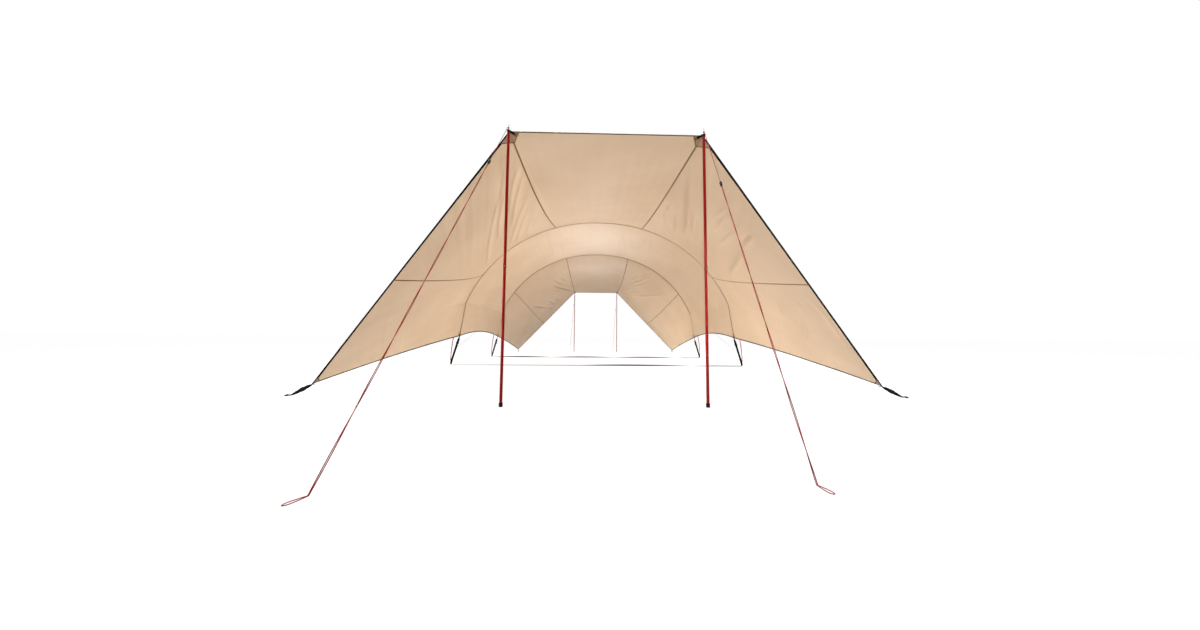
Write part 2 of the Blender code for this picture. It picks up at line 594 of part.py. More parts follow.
def make_main_guy(end, side, y_side):
    """A line from round an upright's spike to a slider, doubled from there to the ground, ending in a loop."""
    ground_x, ahead, slider_share, loop_heading = MAIN_GUYS[side]
    spike = np.array([SIDES[side] * UPRIGHT_X, y_side * UPRIGHT_Y, UPRIGHT_HEIGHT + KNOT_RISE])
    peg = np.array([ground_x, y_side * (UPRIGHT_Y + ahead)])
    heading = math.atan2(peg[1] - spike[1], peg[0] - spike[0])
    turn = heading + math.pi + np.radians(np.linspace(-150, 90, 7))
    round_spike = (SPIKE_RADIUS + GAP + GUY_RADIUS) / math.cos((turn[1] - turn[0]) / 2)
    ring = spike + round_spike * np.column_stack([np.cos(turn), np.sin(turn), np.zeros(len(turn))])
    start = ring[-1] + KNOT_RISE * np.array([math.cos(heading), math.sin(heading), -0.4])
    end_point = np.array([*peg, GUY_RADIUS])
    run = end_point - start
    length = np.linalg.norm(run)
    run /= length
    aside = np.cross(run, [0.0, 0.0, 1.0])
    aside /= np.linalg.norm(aside)
    slider = start + run * length * slider_share
    slider_end = slider + run * SLIDER_LENGTH
    one = aside * STRAND_OFFSET
    laid = -y_side * math.radians(loop_heading)
    loop = loop_points(peg, laid, GUY_LOOP, GUY_LOOP_WIDTH, GUY_RADIUS, STRAND_OFFSET)
    if np.dot(loop[0][:2] - peg, one[:2]) < 0:
        loop = loop[::-1]
    points = [
        *ring,
        start,
        slider - run * GUY_RADIUS,
        slider,
        slider_end,
        slider_end + run * GUY_RADIUS + one * 0.5,
        slider_end + run * GUY_BEND + one,
        end_point - run * GUY_BEND + one,
        *loop,
        end_point - run * GUY_BEND - one,
        slider_end + run * 3 * GUY_RADIUS - one * 1.2,
    ]
    fat = SLIDER_RADIUS / GUY_RADIUS
    scales = np.ones(len(points))
    scales[len(ring) + 2] = fat
    scales[len(ring) + 3] = fat
    round_rod(f"{end}_{side}_guy", points, GUY_RADIUS, RED_LINE, scales)


def make_hoop_guy(end, side, y, x_side):
    """A thin line from the hoop at the elbow of the cloth out to the ground, ending in a small loop."""
    sleeve_face = SLEEVE_RADIUS * math.cos(math.pi / 8)
    elbow = hoop_points([ELBOW_ANGLE], sleeve_face + GAP + HOOP_GUY_RADIUS)[0]
    start = np.array([x_side * elbow[0], y, elbow[1]])
    peg = np.array([x_side * HOOP_GUY_X, y])
    end_point = np.array([*peg, HOOP_GUY_RADIUS])
    run = end_point - start
    run /= np.linalg.norm(run)
    outwards = 0.0 if x_side > 0 else math.pi
    loop = loop_points(peg, outwards, HOOP_GUY_LOOP, HOOP_GUY_LOOP_WIDTH, HOOP_GUY_RADIUS, HOOP_GUY_LOOP_GAP)
    points = [start, end_point - run * GUY_BEND, *loop]
    round_rod(f"{end}_hoop_{side}_guy", points, HOOP_GUY_RADIUS, PALE_LINE)


make_band()
for end_name, end_sign in ENDS.items():
    hoop_y = end_sign * HOOP_Y
    make_wing(end_name, end_sign)
    make_hoop(end_name, hoop_y)
    make_ground_strap(end_name, hoop_y)
    for side_name, side_sign in SIDES.items():
        make_upright(end_name, side_name, end_sign, side_sign)
        make_top_tab(end_name, side_name, end_sign, side_sign)
        make_corner_strap(end_name, side_name, end_sign, side_sign)
        make_foot_strap(end_name, side_name, hoop_y, side_sign)
        make_main_guy(end_name, side_name, end_sign)
        make_hoop_guy(end_name, side_name, hoop_y, side_sign)
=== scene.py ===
"""Tunnel sun shelter, dressed: sand-coloured cotton over two hoops, red uprights, black webbing and guy lines.

Metres, +Z up, the origin on the ground in the middle. The ends face -Y (front) and +Y (rear), left is -X.
"""

import functools
from math import acos, asin, atan, atan2, copysign, cos, pi, radians, sin

import bpy
import numpy as np
from mathutils import Matrix, Vector


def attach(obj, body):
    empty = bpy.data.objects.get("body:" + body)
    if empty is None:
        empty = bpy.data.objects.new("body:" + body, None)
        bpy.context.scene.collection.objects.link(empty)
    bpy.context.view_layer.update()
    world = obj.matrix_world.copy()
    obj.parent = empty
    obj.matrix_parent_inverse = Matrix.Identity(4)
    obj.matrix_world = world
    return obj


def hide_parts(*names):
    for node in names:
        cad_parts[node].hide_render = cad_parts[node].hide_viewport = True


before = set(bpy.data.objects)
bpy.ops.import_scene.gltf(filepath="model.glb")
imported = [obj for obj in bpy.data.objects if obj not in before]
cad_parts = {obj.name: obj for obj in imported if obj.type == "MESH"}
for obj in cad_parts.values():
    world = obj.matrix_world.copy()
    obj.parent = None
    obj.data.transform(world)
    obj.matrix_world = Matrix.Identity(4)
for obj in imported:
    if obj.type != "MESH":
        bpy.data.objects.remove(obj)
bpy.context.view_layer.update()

# The studio. A pale floor, an even white light all round and soft lamps behind the camera and outside the cloth.
# The camera stands low in front of the shelter, looking in under the straight edge of the cloth.
CAMERA_PLACE = (-0.0807, -5.858, 0.4368)
CAMERA_YAW, CAMERA_PITCH, CAMERA_ROLL = radians(-1.263), radians(4.002), radians(0.43)
FOCAL_PIXELS, PICTURE_WIDTH, SENSOR_WIDTH = 316.0, 1200, 36.0
FLOOR_REACH, FLOOR_DROP = 400.0, 0.001
SKY_LIGHT, FLOOR_LIGHT, FLOOR_SEEN = 0.15, 0.60, 0.96  # what they give, and how bright the floor is seen
WHITE, FLOOR_GREY = (1.0, 1.0, 1.0), (0.10, 0.10, 0.10)
LAMPS = {  # place, aim, size, watts, spread in degrees
    "front_lamp": ((-5.0, -8.0, 2.0), (1.2, -2.0, 1.5), 1.6, 50.0, 180.0),
    "sky_lamp": ((-3.0, -1.0, 7.5), (0.0, 0.0, 1.5), 6.0, 572.0, 180.0),
    "left_sky_lamp": ((-6.0, 1.5, 4.0), (-1.2, -1.8, 1.5), 1.5, 254.0, 180.0),
    "over_lamp": ((2.0, -1.5, 7.5), (-1.0, -1.5, 1.5), 1.5, 400.0, 180.0),
    "high_left_lamp": ((-5.0, -3.0, 6.0), (0.0, -1.5, 1.0), 3.0, 169.0, 180.0),
    "high_right_lamp": ((5.0, -3.0, 6.0), (0.0, -1.5, 1.0), 3.0, 129.0, 180.0),
    "left_lamp": ((-7.0, -2.0, 1.2), (-2.2, -2.0, 0.5), 2.0, 55.0, 70.0),
    "right_lamp": ((7.0, -2.0, 1.2), (2.2, -2.0, 0.5), 2.0, 105.0, 70.0),
    "inner_right_lamp": ((-4.0, -8.0, 0.9), (2.2, -2.4, 0.5), 1.0, 6.5, 25.0),
    "inner_roof_lamp": ((0.4, -8.5, 0.35), (0.0, -3.5, 1.8), 1.0, 4.0, 25.0),
    "rear_right_lamp": ((7.0, 2.5, 1.2), (1.8, 2.5, 0.7), 2.0, 141.0, 70.0),
    "back_lamp": ((0.0, 4.6, 0.05), (0.0, -0.6, 2.2), 0.8, 1.45, 28.0),
}


def standing(name, made):
    """An object of this name made of a camera, lamp or mesh, in the scene."""
    made = bpy.data.objects.new(name, made)
    bpy.context.scene.collection.objects.link(made)
    return made


def fill(tree, made, inputs):
    """Set a node's inputs: a socket is linked, a value is the input's own. Colours come without alpha."""
    for key, value in inputs.items():
        if isinstance(value, bpy.types.NodeSocket):
            tree.links.new(value, made.inputs[key])
        else:
            made.inputs[key].default_value = (*value, 1.0) if made.inputs[key].type == "RGBA" else value
    return made


def node(tree, kind, inputs, **settings):
    """A node of this kind in the tree, with these settings and inputs."""
    made = tree.nodes.new("ShaderNode" + kind)
    for key, value in settings.items():
        setattr(made, key, value)
    return fill(tree, made, inputs)


def maths(tree, operation, *values, kind="Math"):
    """The result of one operation on values or sockets."""
    return node(tree, kind, dict(enumerate(values)), operation=operation).outputs[0]


def strength_of(tree, seen, given):
    """A light's strength: seen by the camera, and given to everything else."""
    rays = node(tree, "LightPath", {})
    return maths(tree, "MULTIPLY_ADD", rays.outputs["Is Camera Ray"], seen - given, given)


lens = bpy.data.cameras.new("lens")
lens.sensor_width = SENSOR_WIDTH
lens.lens = FOCAL_PIXELS * SENSOR_WIDTH / PICTURE_WIDTH
lens.clip_start, lens.clip_end = 0.01, 1000.0
camera = standing("camera", lens)
bpy.context.scene.camera = camera
camera.matrix_world = (
    Matrix.Translation(CAMERA_PLACE) @ Matrix.Rotation(CAMERA_YAW, 4, "Z")
    @ Matrix.Rotation(pi / 2 + CAMERA_PITCH, 4, "X") @ Matrix.Rotation(CAMERA_ROLL, 4, "Z")
)
bpy.context.scene.view_settings.view_transform = "Standard"
studio = bpy.data.worlds.new("studio")
studio.use_nodes = True
sky = studio.node_tree
fill(sky, sky.nodes["Background"], {"Color": WHITE, "Strength": strength_of(sky, 1.0, SKY_LIGHT)})
bpy.context.scene.world = studio
for name, (place, aim, size, watts, spread) in LAMPS.items():
    lamp = bpy.data.lights.new(name, "AREA")
    lamp.shape, lamp.size, lamp.energy, lamp.spread = "SQUARE", size, watts, radians(spread)
    hung = standing(name, lamp)
    hung.visible_camera = False
    hung.location = place
    hung.rotation_euler = (Vector(aim) - Vector(place)).to_track_quat("-Z", "Y").to_euler()
floor_mesh = bpy.data.meshes.new("floor")
floor_corners = [(x * FLOOR_REACH, y * FLOOR_REACH, -FLOOR_DROP) for x, y in ((-1, -1), (1, -1), (1, 1), (-1, 1))]
floor_mesh.from_pydata(floor_corners, [], [(0, 1, 2, 3)])
floor = standing("floor", floor_mesh)
pale = bpy.data.materials.new("pale_floor")
pale.use_nodes = True
fill(pale.node_tree, pale.node_tree.nodes["Principled BSDF"], {
    "Base Color": FLOOR_GREY, "Roughness": 0.9, "Emission Color": WHITE,
    "Emission Strength": strength_of(pale.node_tree, FLOOR_SEEN, FLOOR_LIGHT),
})
floor_mesh.materials.append(pale)

# The hoop poles. Each hoop is one bent tube of red anodised aluminium, put together from sections, with a
# bare aluminium ferrule at each end that stands on the ground.
HOOP_Y, HOOP_HALF_WIDTH, HOOP_RISE, HOOP_POWER = 0.97, 2.24, 2.255, 2.1
HOOP_POLE_RADIUS, FERRULE_LENGTH = 0.006, 0.07
FERRULE_RADIUS = 0.7 * HOOP_POLE_RADIUS
SECTION_LENGTH, GROOVE_DEPTH, GROOVE_HALF, CHAMFER, TUBE_STEP = 0.69, 0.0004, 0.001, 0.0007, 0.035
FERRULE = np.array([  # distance from the ground along the pole, share of the ferrule's radius
    (0.0, 0.55), (0.001, 0.82), (0.003, 0.97), (0.005, 1.0), (0.02, 1.0), (0.045, 1.0), (0.058, 1.0), (0.0582, 1.1),
    (0.062, 1.1), (0.0622, 1.0), (0.08, 1.0),
])
GAP = 0.0003  # between pieces that touch
ENDS = {"front": -1, "rear": 1}
SIDES = {"left": -1, "right": 1}
CORNERS = [(end, end_sign, side, side_sign) for end, end_sign in ENDS.items() for side, side_sign in SIDES.items()]


def unit(vectors):
    """Each vector over its own length."""
    return vectors / np.linalg.norm(vectors, axis=-1, keepdims=True)


def mirrored(place, run):
    """Places with their x turned to the left where run is negative."""
    place = np.array(place, float)
    place[..., 0] *= np.where(run < 0, -1.0, 1.0)
    return place


def hoop_at(angle, outset=0.0):
    """Point (x, z) of a hoop at an angle from its apex: x = W sin(a)^(2/n), z = R cos(a)^(2/n), moved by outset along
    the normal ((x/W)^(n-1) / W, (z/R)^(n-1) / R)."""
    angle = np.asarray(angle, float)
    share = np.stack([np.abs(np.sin(angle)), np.clip(np.cos(angle), 0.0, None)], axis=-1) ** (2 / HOOP_POWER)
    size = np.array([HOOP_HALF_WIDTH, HOOP_RISE])
    return mirrored(size * share + outset * unit(share ** (HOOP_POWER - 1) / size), angle)


def hoop_line(angle, y, outset=0.0):
    """A hoop's line at y, through these angles."""
    return np.insert(hoop_at(angle, outset), 1, y, axis=1)


def lengths(path):
    """Distance along a path to each of its points, as the running sum of its steps."""
    return np.concatenate([[0.0], np.cumsum(np.linalg.norm(np.diff(path, axis=0), axis=1))])


def stations(path, distances):
    """Points of a path at these distances along it, straight between its own points."""
    return np.stack([np.interp(distances, lengths(path), path[:, axis]) for axis in range(3)], axis=-1)


def round_at(turn):
    """Places (cos t, sin t) at these angles."""
    return np.stack([np.cos(turn), np.sin(turn)], axis=-1)


def circle(radius, count=16):
    """A round profile: (r cos t, r sin t)."""
    return np.multiply.outer(radius, round_at(np.linspace(0, 2 * pi, count + 1)[:-1]))


def quads(rows, columns, round_rows=False, round_columns=False):
    """Point numbers of the quads of a grid, and the row and column of each of their corners."""
    r, c = np.meshgrid(np.arange(rows - (not round_rows)), np.arange(columns - (not round_columns)), indexing="ij")
    r = r.reshape(-1, 1) + np.array([0, 0, 1, 1])
    c = c.reshape(-1, 1) + np.array([0, 1, 1, 0])
    return (r % rows) * columns + c % columns, r, c


def swept(profile, path, facing, ring=False, flat_uv=False):
    """A closed profile carried along a path: point (i, j) = path_i + x_j side_i + y_j up_i.

    up is facing made square to the path, and side = along x up. The profile may change from point to point. UV is
    in metres, round the profile (across it with flat_uv) and along the path.
    """
    profile = np.broadcast_to(profile, (len(path), *np.shape(profile)[-2:]))
    closed = np.concatenate([path[-1:], path, path[:1]]) if ring else path
    along = unit(np.gradient(closed, axis=0))[1:-1] if ring else unit(np.gradient(path, axis=0))
    facing = np.broadcast_to(np.asarray(facing, float), path.shape)
    up = unit(facing - (facing * along).sum(-1, keepdims=True) * along)
    side = np.cross(along, up)
    points = path[:, None] + profile[..., :1] * side[:, None] + profile[..., 1:] * up[:, None]
    rows, columns = points.shape[:2]
    faces, r, c = quads(rows, columns, ring, True)
    run = lengths(closed[1:] if ring else path)
    loop = np.concatenate([profile[0], profile[0][:1]])
    girth = loop[:, 0] if flat_uv else lengths(loop)
    groups = [(faces, np.stack([girth[c], run[r]], axis=-1))]
    if not ring:
        first = np.arange(columns)[None]
        groups.append((first[:, ::-1], profile[0][None, ::-1]))
        groups.append((first + (rows - 1) * columns, profile[-1][None] + [0.0, run[-1]]))
    return points.reshape(-1, 3), groups


def strip(section, path, facing):
    """A flat profile carried along a path, with UV across it."""
    return swept(section, path, facing, flat_uv=True)


def facing_out(points, groups):
    """The same faces, turned over where the shape's volume, the sum of a.(b x c), is negative."""
    centred = points - points.mean(axis=0)
    volume = 0.0
    for faces, _ in groups:
        rest = centred[faces]
        volume += (np.cross(rest[:, 1:-1], rest[:, 2:]) * rest[:, :1]).sum()
    return groups if volume > 0 else [(faces[:, ::-1], uv[:, ::-1]) for faces, uv in groups]


def piece(name, made_of, crisp=40, open_sheet=False):
    """One object of shapes (points, groups of faces with UV) listed by material, smooth up to crisp degrees."""
    points, corners, uvs, slots = [], [], [], []
    for slot, shapes in enumerate(made_of.values()):
        for place, groups in shapes:
            start = sum(map(len, points))
            for faces, uv in groups if open_sheet else facing_out(place, groups):
                corners += (faces + start).tolist()
                uvs.append(np.reshape(uv, (-1, 2)))
                slots += [slot] * len(faces)
            points.append(place)
    mesh = bpy.data.meshes.new(name)
    mesh.from_pydata(np.concatenate(points), [], corners, shade_flat=False)
    mesh.polygons.foreach_set("material_index", slots)
    mesh.uv_layers.new(name="metres").data.foreach_set("uv", np.concatenate(uvs).astype(np.float32).ravel())
    mesh.validate()
    mesh.set_sharp_from_angle(angle=radians(crisp))
    for material in made_of:
        mesh.materials.append(material)
    made = standing(name, mesh)
    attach(made, "root")
    return made


def effect(name, inputs, outputs):
    """A node group with these inputs (name: default) and outputs: its tree, its input sockets and its end node."""
    group = bpy.data.node_groups.new(name, "ShaderNodeTree")
    group.interface.new_socket("Vector", in_out="INPUT", socket_type="NodeSocketVector")
    for label, default in inputs.items():
        group.interface.new_socket(label, in_out="INPUT", socket_type="NodeSocketFloat").default_value = default
    for label in outputs:
        group.interface.new_socket(label, in_out="OUTPUT", socket_type="NodeSocketFloat")
    return group, group.nodes.new("NodeGroupInput").outputs, group.nodes.new("NodeGroupOutput")


def made_from(tree, group, place, **inputs):
    """The outputs of a node group at a place, its other inputs named with _ for each space."""
    inputs = {label.replace("_", " "): value for label, value in inputs.items()}
    return node(tree, "Group", {"Vector": place, **inputs}, node_tree=group).outputs


def noise(tree, place, scale, detail, stretch=None):
    """A noise at a place in metres, which is first stretched by these factors where they are given."""
    place = maths(tree, "MULTIPLY", place, stretch, kind="VectorMath") if stretch else place
    return node(tree, "TexNoise", {"Vector": place, "Scale": scale, "Detail": detail}).outputs["Fac"]


def span(tree, value, start, stop, low=0.0, high=1.0):
    """A value brought from start to stop to low to high."""
    inputs = {"Value": value, "From Min": start, "From Max": stop, "To Min": low, "To Max": high}
    return node(tree, "MapRange", inputs).outputs["Result"]


def mix(tree, share, none, whole):
    """A colour between two."""
    return node(tree, "Mix", {0: share, 6: none, 7: whole}, data_type="RGBA").outputs[2]


def bump(tree, height, strength, distance, under=None):
    """The normal of a relief of this height, on top of another one where it is given."""
    inputs = {"Height": height, "Strength": strength, "Distance": distance, **({"Normal": under} if under else {})}
    return node(tree, "Bump", inputs).outputs["Normal"]


def finish_of(name):
    """A new material, its tree, its Principled shader and the piece's UV in metres."""
    made = bpy.data.materials.new(name)
    made.use_nodes = True
    tree = made.node_tree
    return made, tree, tree.nodes["Principled BSDF"], node(tree, "UVMap", {}, uv_map="metres").outputs["UV"]


# Wear: a slow change of tone over the whole surface, and scuffs where a finer noise is high.
wear, wear_in, wear_out = effect("wear", {"Cloud Scale": 3.0, "Scuff Scale": 60.0}, ["Cloud", "Scuffs"])
fill(wear, wear_out, {
    "Cloud": noise(wear, wear_in["Vector"], wear_in["Cloud Scale"], 3.0),
    "Scuffs": span(wear, noise(wear, wear_in["Vector"], wear_in["Scuff Scale"], 6.0), 0.60, 0.78),
})


def metal(name, colour, worn_colour, roughness, metallic, rim=WHITE):
    """Drawn and anodised metal: a main colour, a second one where it is scuffed, and fine lines along the tube."""
    made, tree, shader, uv = finish_of(name)
    worn = made_from(tree, wear, uv, Cloud_Scale=14.0, Scuff_Scale=240.0)
    faded = mix(tree, worn["Cloud"], colour, [c * 1.3 for c in colour])
    drawn = noise(tree, uv, 1.0, 2.0, stretch=(2600.0, 12.0, 1.0))
    fill(tree, shader, {
        "Base Color": mix(tree, worn["Scuffs"], faded, worn_colour), "Metallic": metallic, "Specular Tint": rim,
        "Roughness": span(tree, drawn, 0.0, 1.0, roughness - 0.07, roughness + 0.1),
        "Normal": bump(tree, drawn, 0.25, 0.0001),
    })
    return made


red_aluminium = metal(
    "red_anodised_aluminium", (0.24, 0.0090, 0.0065), (0.31, 0.027, 0.021), 0.36, 0.22, rim=(0.9, 0.12, 0.10)
)
bare_aluminium = metal("bare_aluminium", (0.60, 0.58, 0.56), (0.72, 0.70, 0.68), 0.36, 0.95)
bright_steel = metal("bright_steel", (0.42, 0.41, 0.40), (0.58, 0.57, 0.55), 0.28, 0.95)
for end, end_sign in ENDS.items():
    line = hoop_line(np.linspace(-pi / 2, pi / 2, 7001), end_sign * HOOP_Y)
    whole = lengths(line)[-1]
    near, far = FERRULE_LENGTH, whole - FERRULE_LENGTH
    joints = np.arange(near + SECTION_LENGTH, whole / 2, SECTION_LENGTH)
    joints = np.concatenate([joints, whole - joints])
    grooves = np.add.outer((-0.0012, -0.0008, 0.0008, 0.0012), joints).ravel()
    rounded = CHAMFER * np.arange(3)
    even = np.arange(near + 0.005, far - 0.004, TUBE_STEP)
    at = np.unique(np.concatenate([even, grooves, near + rounded, far - rounded]))
    radius = np.full(len(at), HOOP_POLE_RADIUS)
    radius -= GROOVE_DEPTH * (np.abs(at[:, None] - joints).min(axis=1) < GROOVE_HALF)
    radius -= np.interp(np.minimum(at - near, far - at), rounded, [0.001, 0.0003, 0.0])
    tube = swept(circle(radius), stations(line, at), (0.0, 1.0, 0.0))
    ferrules = [
        swept(circle(FERRULE_RADIUS * FERRULE[:, 1]), stations(line, start + turn * FERRULE[:, 0]), (0.0, 1.0, 0.0))
        for start, turn in ((0.0, 1), (whole, -1))
    ]
    pole = piece(f"{end}_hoop_tube", {red_aluminium: [tube], bare_aluminium: ferrules}, crisp=50)
    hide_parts(f"{end}_hoop_pole")

# The canopy. A wing at each end and a band between the hoops, woven cotton about half a millimetre thick. The
# wings are made of a roof panel between the uprights and two panels down each side; the band is one length.
# They are pulled tight by the uprights, the straps and the guy lines, and creases run from where they pull.
UPRIGHT_X, EDGE_Y, UPRIGHT_HEIGHT = 0.65, 3.83, 1.80
HEM, CORNER = np.array([2.12, 0.435]), np.array([2.23, 3.36, 0.06])
TOP = np.array([UPRIGHT_X, EDGE_Y, UPRIGHT_HEIGHT])
EDGE_SEAM_SHARE = 0.555  # of the way from the top to the corner
ROOF_SEAM_X, SIDE_SEAM_X, ELBOW_Z = 0.68, 1.80, 0.965
# The last of the next four is the slope of a crease's side at which its painted shade and painted highlight are full.
SLEEVE_INSET, CLOTH_THICKNESS, WING_LENGTH, FULL_PAINTED_SHADE_SLOPE = 0.0138, 0.001, 2.9, 0.6
ROOF_SAG, SIDE_SAG, HEM_BOW, BAND_SAG, BAND_HEM_ARCH, SAG_AXIS_Z = 0.055, 0.045, 0.02, 0.02, 0.085, 0.6
ROOF_ANGLE, SIDE_ANGLE = (asin((x / HOOP_HALF_WIDTH) ** (HOOP_POWER / 2)) for x in (ROOF_SEAM_X, SIDE_SEAM_X))
ELBOW_ANGLE = acos((ELBOW_Z / HOOP_RISE) ** (HOOP_POWER / 2))
ELBOW = hoop_at(ELBOW_ANGLE, -SLEEVE_INSET)
PANEL_WIDTHS = ((0.65, 0.684), (1.330, 1.371), (1.067, 1.032))  # at edge and hoop: roof half, upper, lower
ROOF_RUNS, UPPER_RUNS, LOWER_RUNS, WING_ROWS, BAND_RUNS, BAND_ROWS = 30, 100, 56, 125, 240, 65

# Creases of the front wing. Each runs through points (distance from the roof seam, distance from the edge), and
# is a ridge of this width and depth (metres, outwards). They run from under the top corner to the hoop's elbow.
CREASES = {-1: [
    ([(0.06, 0.45), (0.24, 0.80), (0.38, 1.10)], 0.030, 0.0344),
    ([(0.06, 0.62), (0.24, 0.97), (0.47, 1.50)], 0.028, 0.0252),
    ([(0.28, 0.62), (0.37, 0.81), (0.53, 1.145), (0.70, 1.57)], 0.027, 0.0275),
    ([(0.22, 0.35), (0.39, 0.665), (0.67, 1.19), (0.85, 1.58), (1.18, 2.43)], 0.030, 0.0230),
    ([(0.17, 1.12), (0.34, 1.42), (0.57, 1.99), (0.66, 2.25)], 0.026, 0.0252),
    ([(0.24, 1.45), (0.40, 1.85), (0.50, 2.12), (0.62, 2.50)], 0.028, 0.0275),
    ([(0.27, 1.85), (0.43, 2.36)], 0.024, 0.0161),
    ([(0.185, 0.255), (0.33, 0.54), (0.45, 0.80)], 0.024, -0.0161),
], 1: [
    ([(0.045, 0.38), (0.16, 0.72), (0.30, 1.11), (0.44, 1.53), (0.52, 1.88)], 0.028, 0.0344),
    ([(0.34, 0.90), (0.42, 1.166), (0.56, 1.60)], 0.024, 0.0126),
    ([(0.24, 1.35), (0.35, 1.75), (0.43, 2.10)], 0.024, 0.0196),
    ([(0.07, 1.22), (0.12, 1.46)], 0.022, -0.0149),
    ([(0.12, 1.50), (0.28, 2.10)], 0.024, 0.0126),
    ([(0.530, 0.68), (0.508, 0.38)], 0.020, 0.0115),
    ([(0.655, 0.92), (0.60, 0.70), (0.565, 0.50)], 0.022, 0.0138),
    ([(0.82, 1.12), (0.765, 0.79), (0.735, 0.56)], 0.024, 0.0161),
    ([(0.93, 0.70), (0.875, 0.50), (0.83, 0.33)], 0.024, 0.0171),
    ([(0.85, 0.60), (0.81, 0.43), (0.785, 0.30)], 0.022, -0.0115),
    ([(1.28, 1.70), (1.13, 1.25), (1.03, 0.95), (0.97, 0.76)], 0.034, 0.0252),
    ([(1.42, 0.22), (1.64, 0.13), (1.82, 0.14), (2.04, 0.09), (2.18, 0.07)], 0.028, 0.0138),
    ([(1.80, 0.58), (1.955, 0.705), (2.11, 0.80)], 0.027, 0.0161),
    ([(1.82, 0.66), (1.99, 0.79)], 0.026, -0.0115),
    ([(1.64, 0.84), (1.87, 1.03)], 0.027, 0.0138),
    ([(1.56, 0.44), (1.70, 0.52)], 0.026, 0.0115),
]}
CREASE_SLOPE = {-1: 0.476, 1: 0.345}
# Heights of the shallow waves: over the roof, along the pull and finer between, across and along the lower panel,
# and over the band from hoop to hoop and aslant.
ROOF_WAVE, PULL_WAVE, FINE_WAVE, LOW_WAVE, HEM_WAVE = 0.0016, 0.0042, 0.0016, 0.0026, 0.0040
BAND_WAVE, SLANT_WAVE = 0.0040, 0.0024


def arch_at(run):
    """Point (x, z) of the cloth at a hoop, inside it down to the elbow and straight from there. run is 0 at the apex,
    1 and 2 at the seams, 2.5 at the elbow and 3 at the hem, and negative on the left."""
    far = np.abs(run)
    angle = np.interp(far, [0, 1, 2, 2.5], [0, ROOF_ANGLE, SIDE_ANGLE, ELBOW_ANGLE])
    return mirrored(hoop_at(angle, -SLEEVE_INSET) + np.clip(2 * far - 5, 0, 1)[..., None] * (HEM - ELBOW), run)


def edge_at(run, end_sign):
    """Point of the cloth's end: along the straight top edge to run 1, then straight down to the corner at run 3."""
    marks = np.array([TOP * [0, 1, 1], TOP, TOP + EDGE_SEAM_SHARE * (CORNER - TOP), CORNER])
    place = np.stack([np.interp(np.abs(run), range(4), marks[:, axis]) for axis in range(3)], axis=-1)
    return mirrored(place * [1, end_sign, 1], run)


def inward_of(place):
    """The way from a place (x, y, z) to the tunnel's axis, level with its own y."""
    return unit(place * [-1, 0, -1] + [0, 0, SAG_AXIS_Z])


def smooth_wing(run, v, end_sign):
    """The wing without creases: (1 - v) edge + v hoop, pulled in towards the tunnel's axis by sag 6.75 v^2 (1 - v),
    and its hem raised by bow 4 v (1 - v)."""
    arch = np.insert(arch_at(run), 1, end_sign * HOOP_Y, axis=-1)
    flat = (1 - v)[..., None] * edge_at(run, end_sign) + v[..., None] * arch
    far = np.abs(run)
    sag = np.where(far < 2, np.interp(far, [0, 1, 2], [ROOF_SAG, ROOF_SAG, SIDE_SAG]), SIDE_SAG * (3 - far) ** 2)
    place = flat + (sag * 6.75 * v**2 * (1 - v))[..., None] * inward_of(flat)
    place[..., 2] += HEM_BOW * np.clip(far - 2, 0, 1) * 4 * v * (1 - v)
    return place


def across_wing(run, v):
    """Distances in metres on the wing's cloth: from the roof seam (or the middle of the roof), and from the edge."""
    roof, upper, lower = ((1 - v) * low + v * high for low, high in PANEL_WIDTHS)
    far = np.abs(run)
    side = np.minimum(far - 1, 1) * upper + np.maximum(far - 2, 0) * lower
    return np.where(far < 1, far * roof, side), v * WING_LENGTH


def fade(distance, width):
    """0 up to no distance, then rising evenly to 1 at this width."""
    return np.clip(distance / width, 0, 1)


def waves(t, spread, count, seed):
    """The mean of sines with steps of about spread, their lengths and phases drawn from one seed."""
    draw = np.random.default_rng(seed)
    total = 0.0
    for _ in range(count):
        total = total + np.sin(2 * pi * t / (spread * draw.uniform(0.55, 1.6)) + draw.uniform(0, 2 * pi))
    return total / count


def ridge(t, l, points, width, depth):
    """A crease along a line of points: depth exp(-(d / width)^2), d the distance to the line, faded at its ends."""
    points = np.asarray(points)
    passed = lengths(points)
    gap, at = np.full(t.shape, 9.0), np.zeros(t.shape)
    for point, step, start, stop in zip(points, np.diff(points, axis=0), passed, passed[1:]):
        share = np.clip(((t - point[0]) * step[0] + (l - point[1]) * step[1]) / (stop - start) ** 2, 0, 1)
        here = np.hypot(t - point[0] - share * step[0], l - point[1] - share * step[1])
        at = np.where(here < gap, start + share * (stop - start), at)
        gap = np.minimum(gap, here)
    ends = fade(np.minimum(at, passed[-1] - at), 0.35 * passed[-1])
    return depth * np.exp(-((gap / width) ** 2)) * ends**0.7


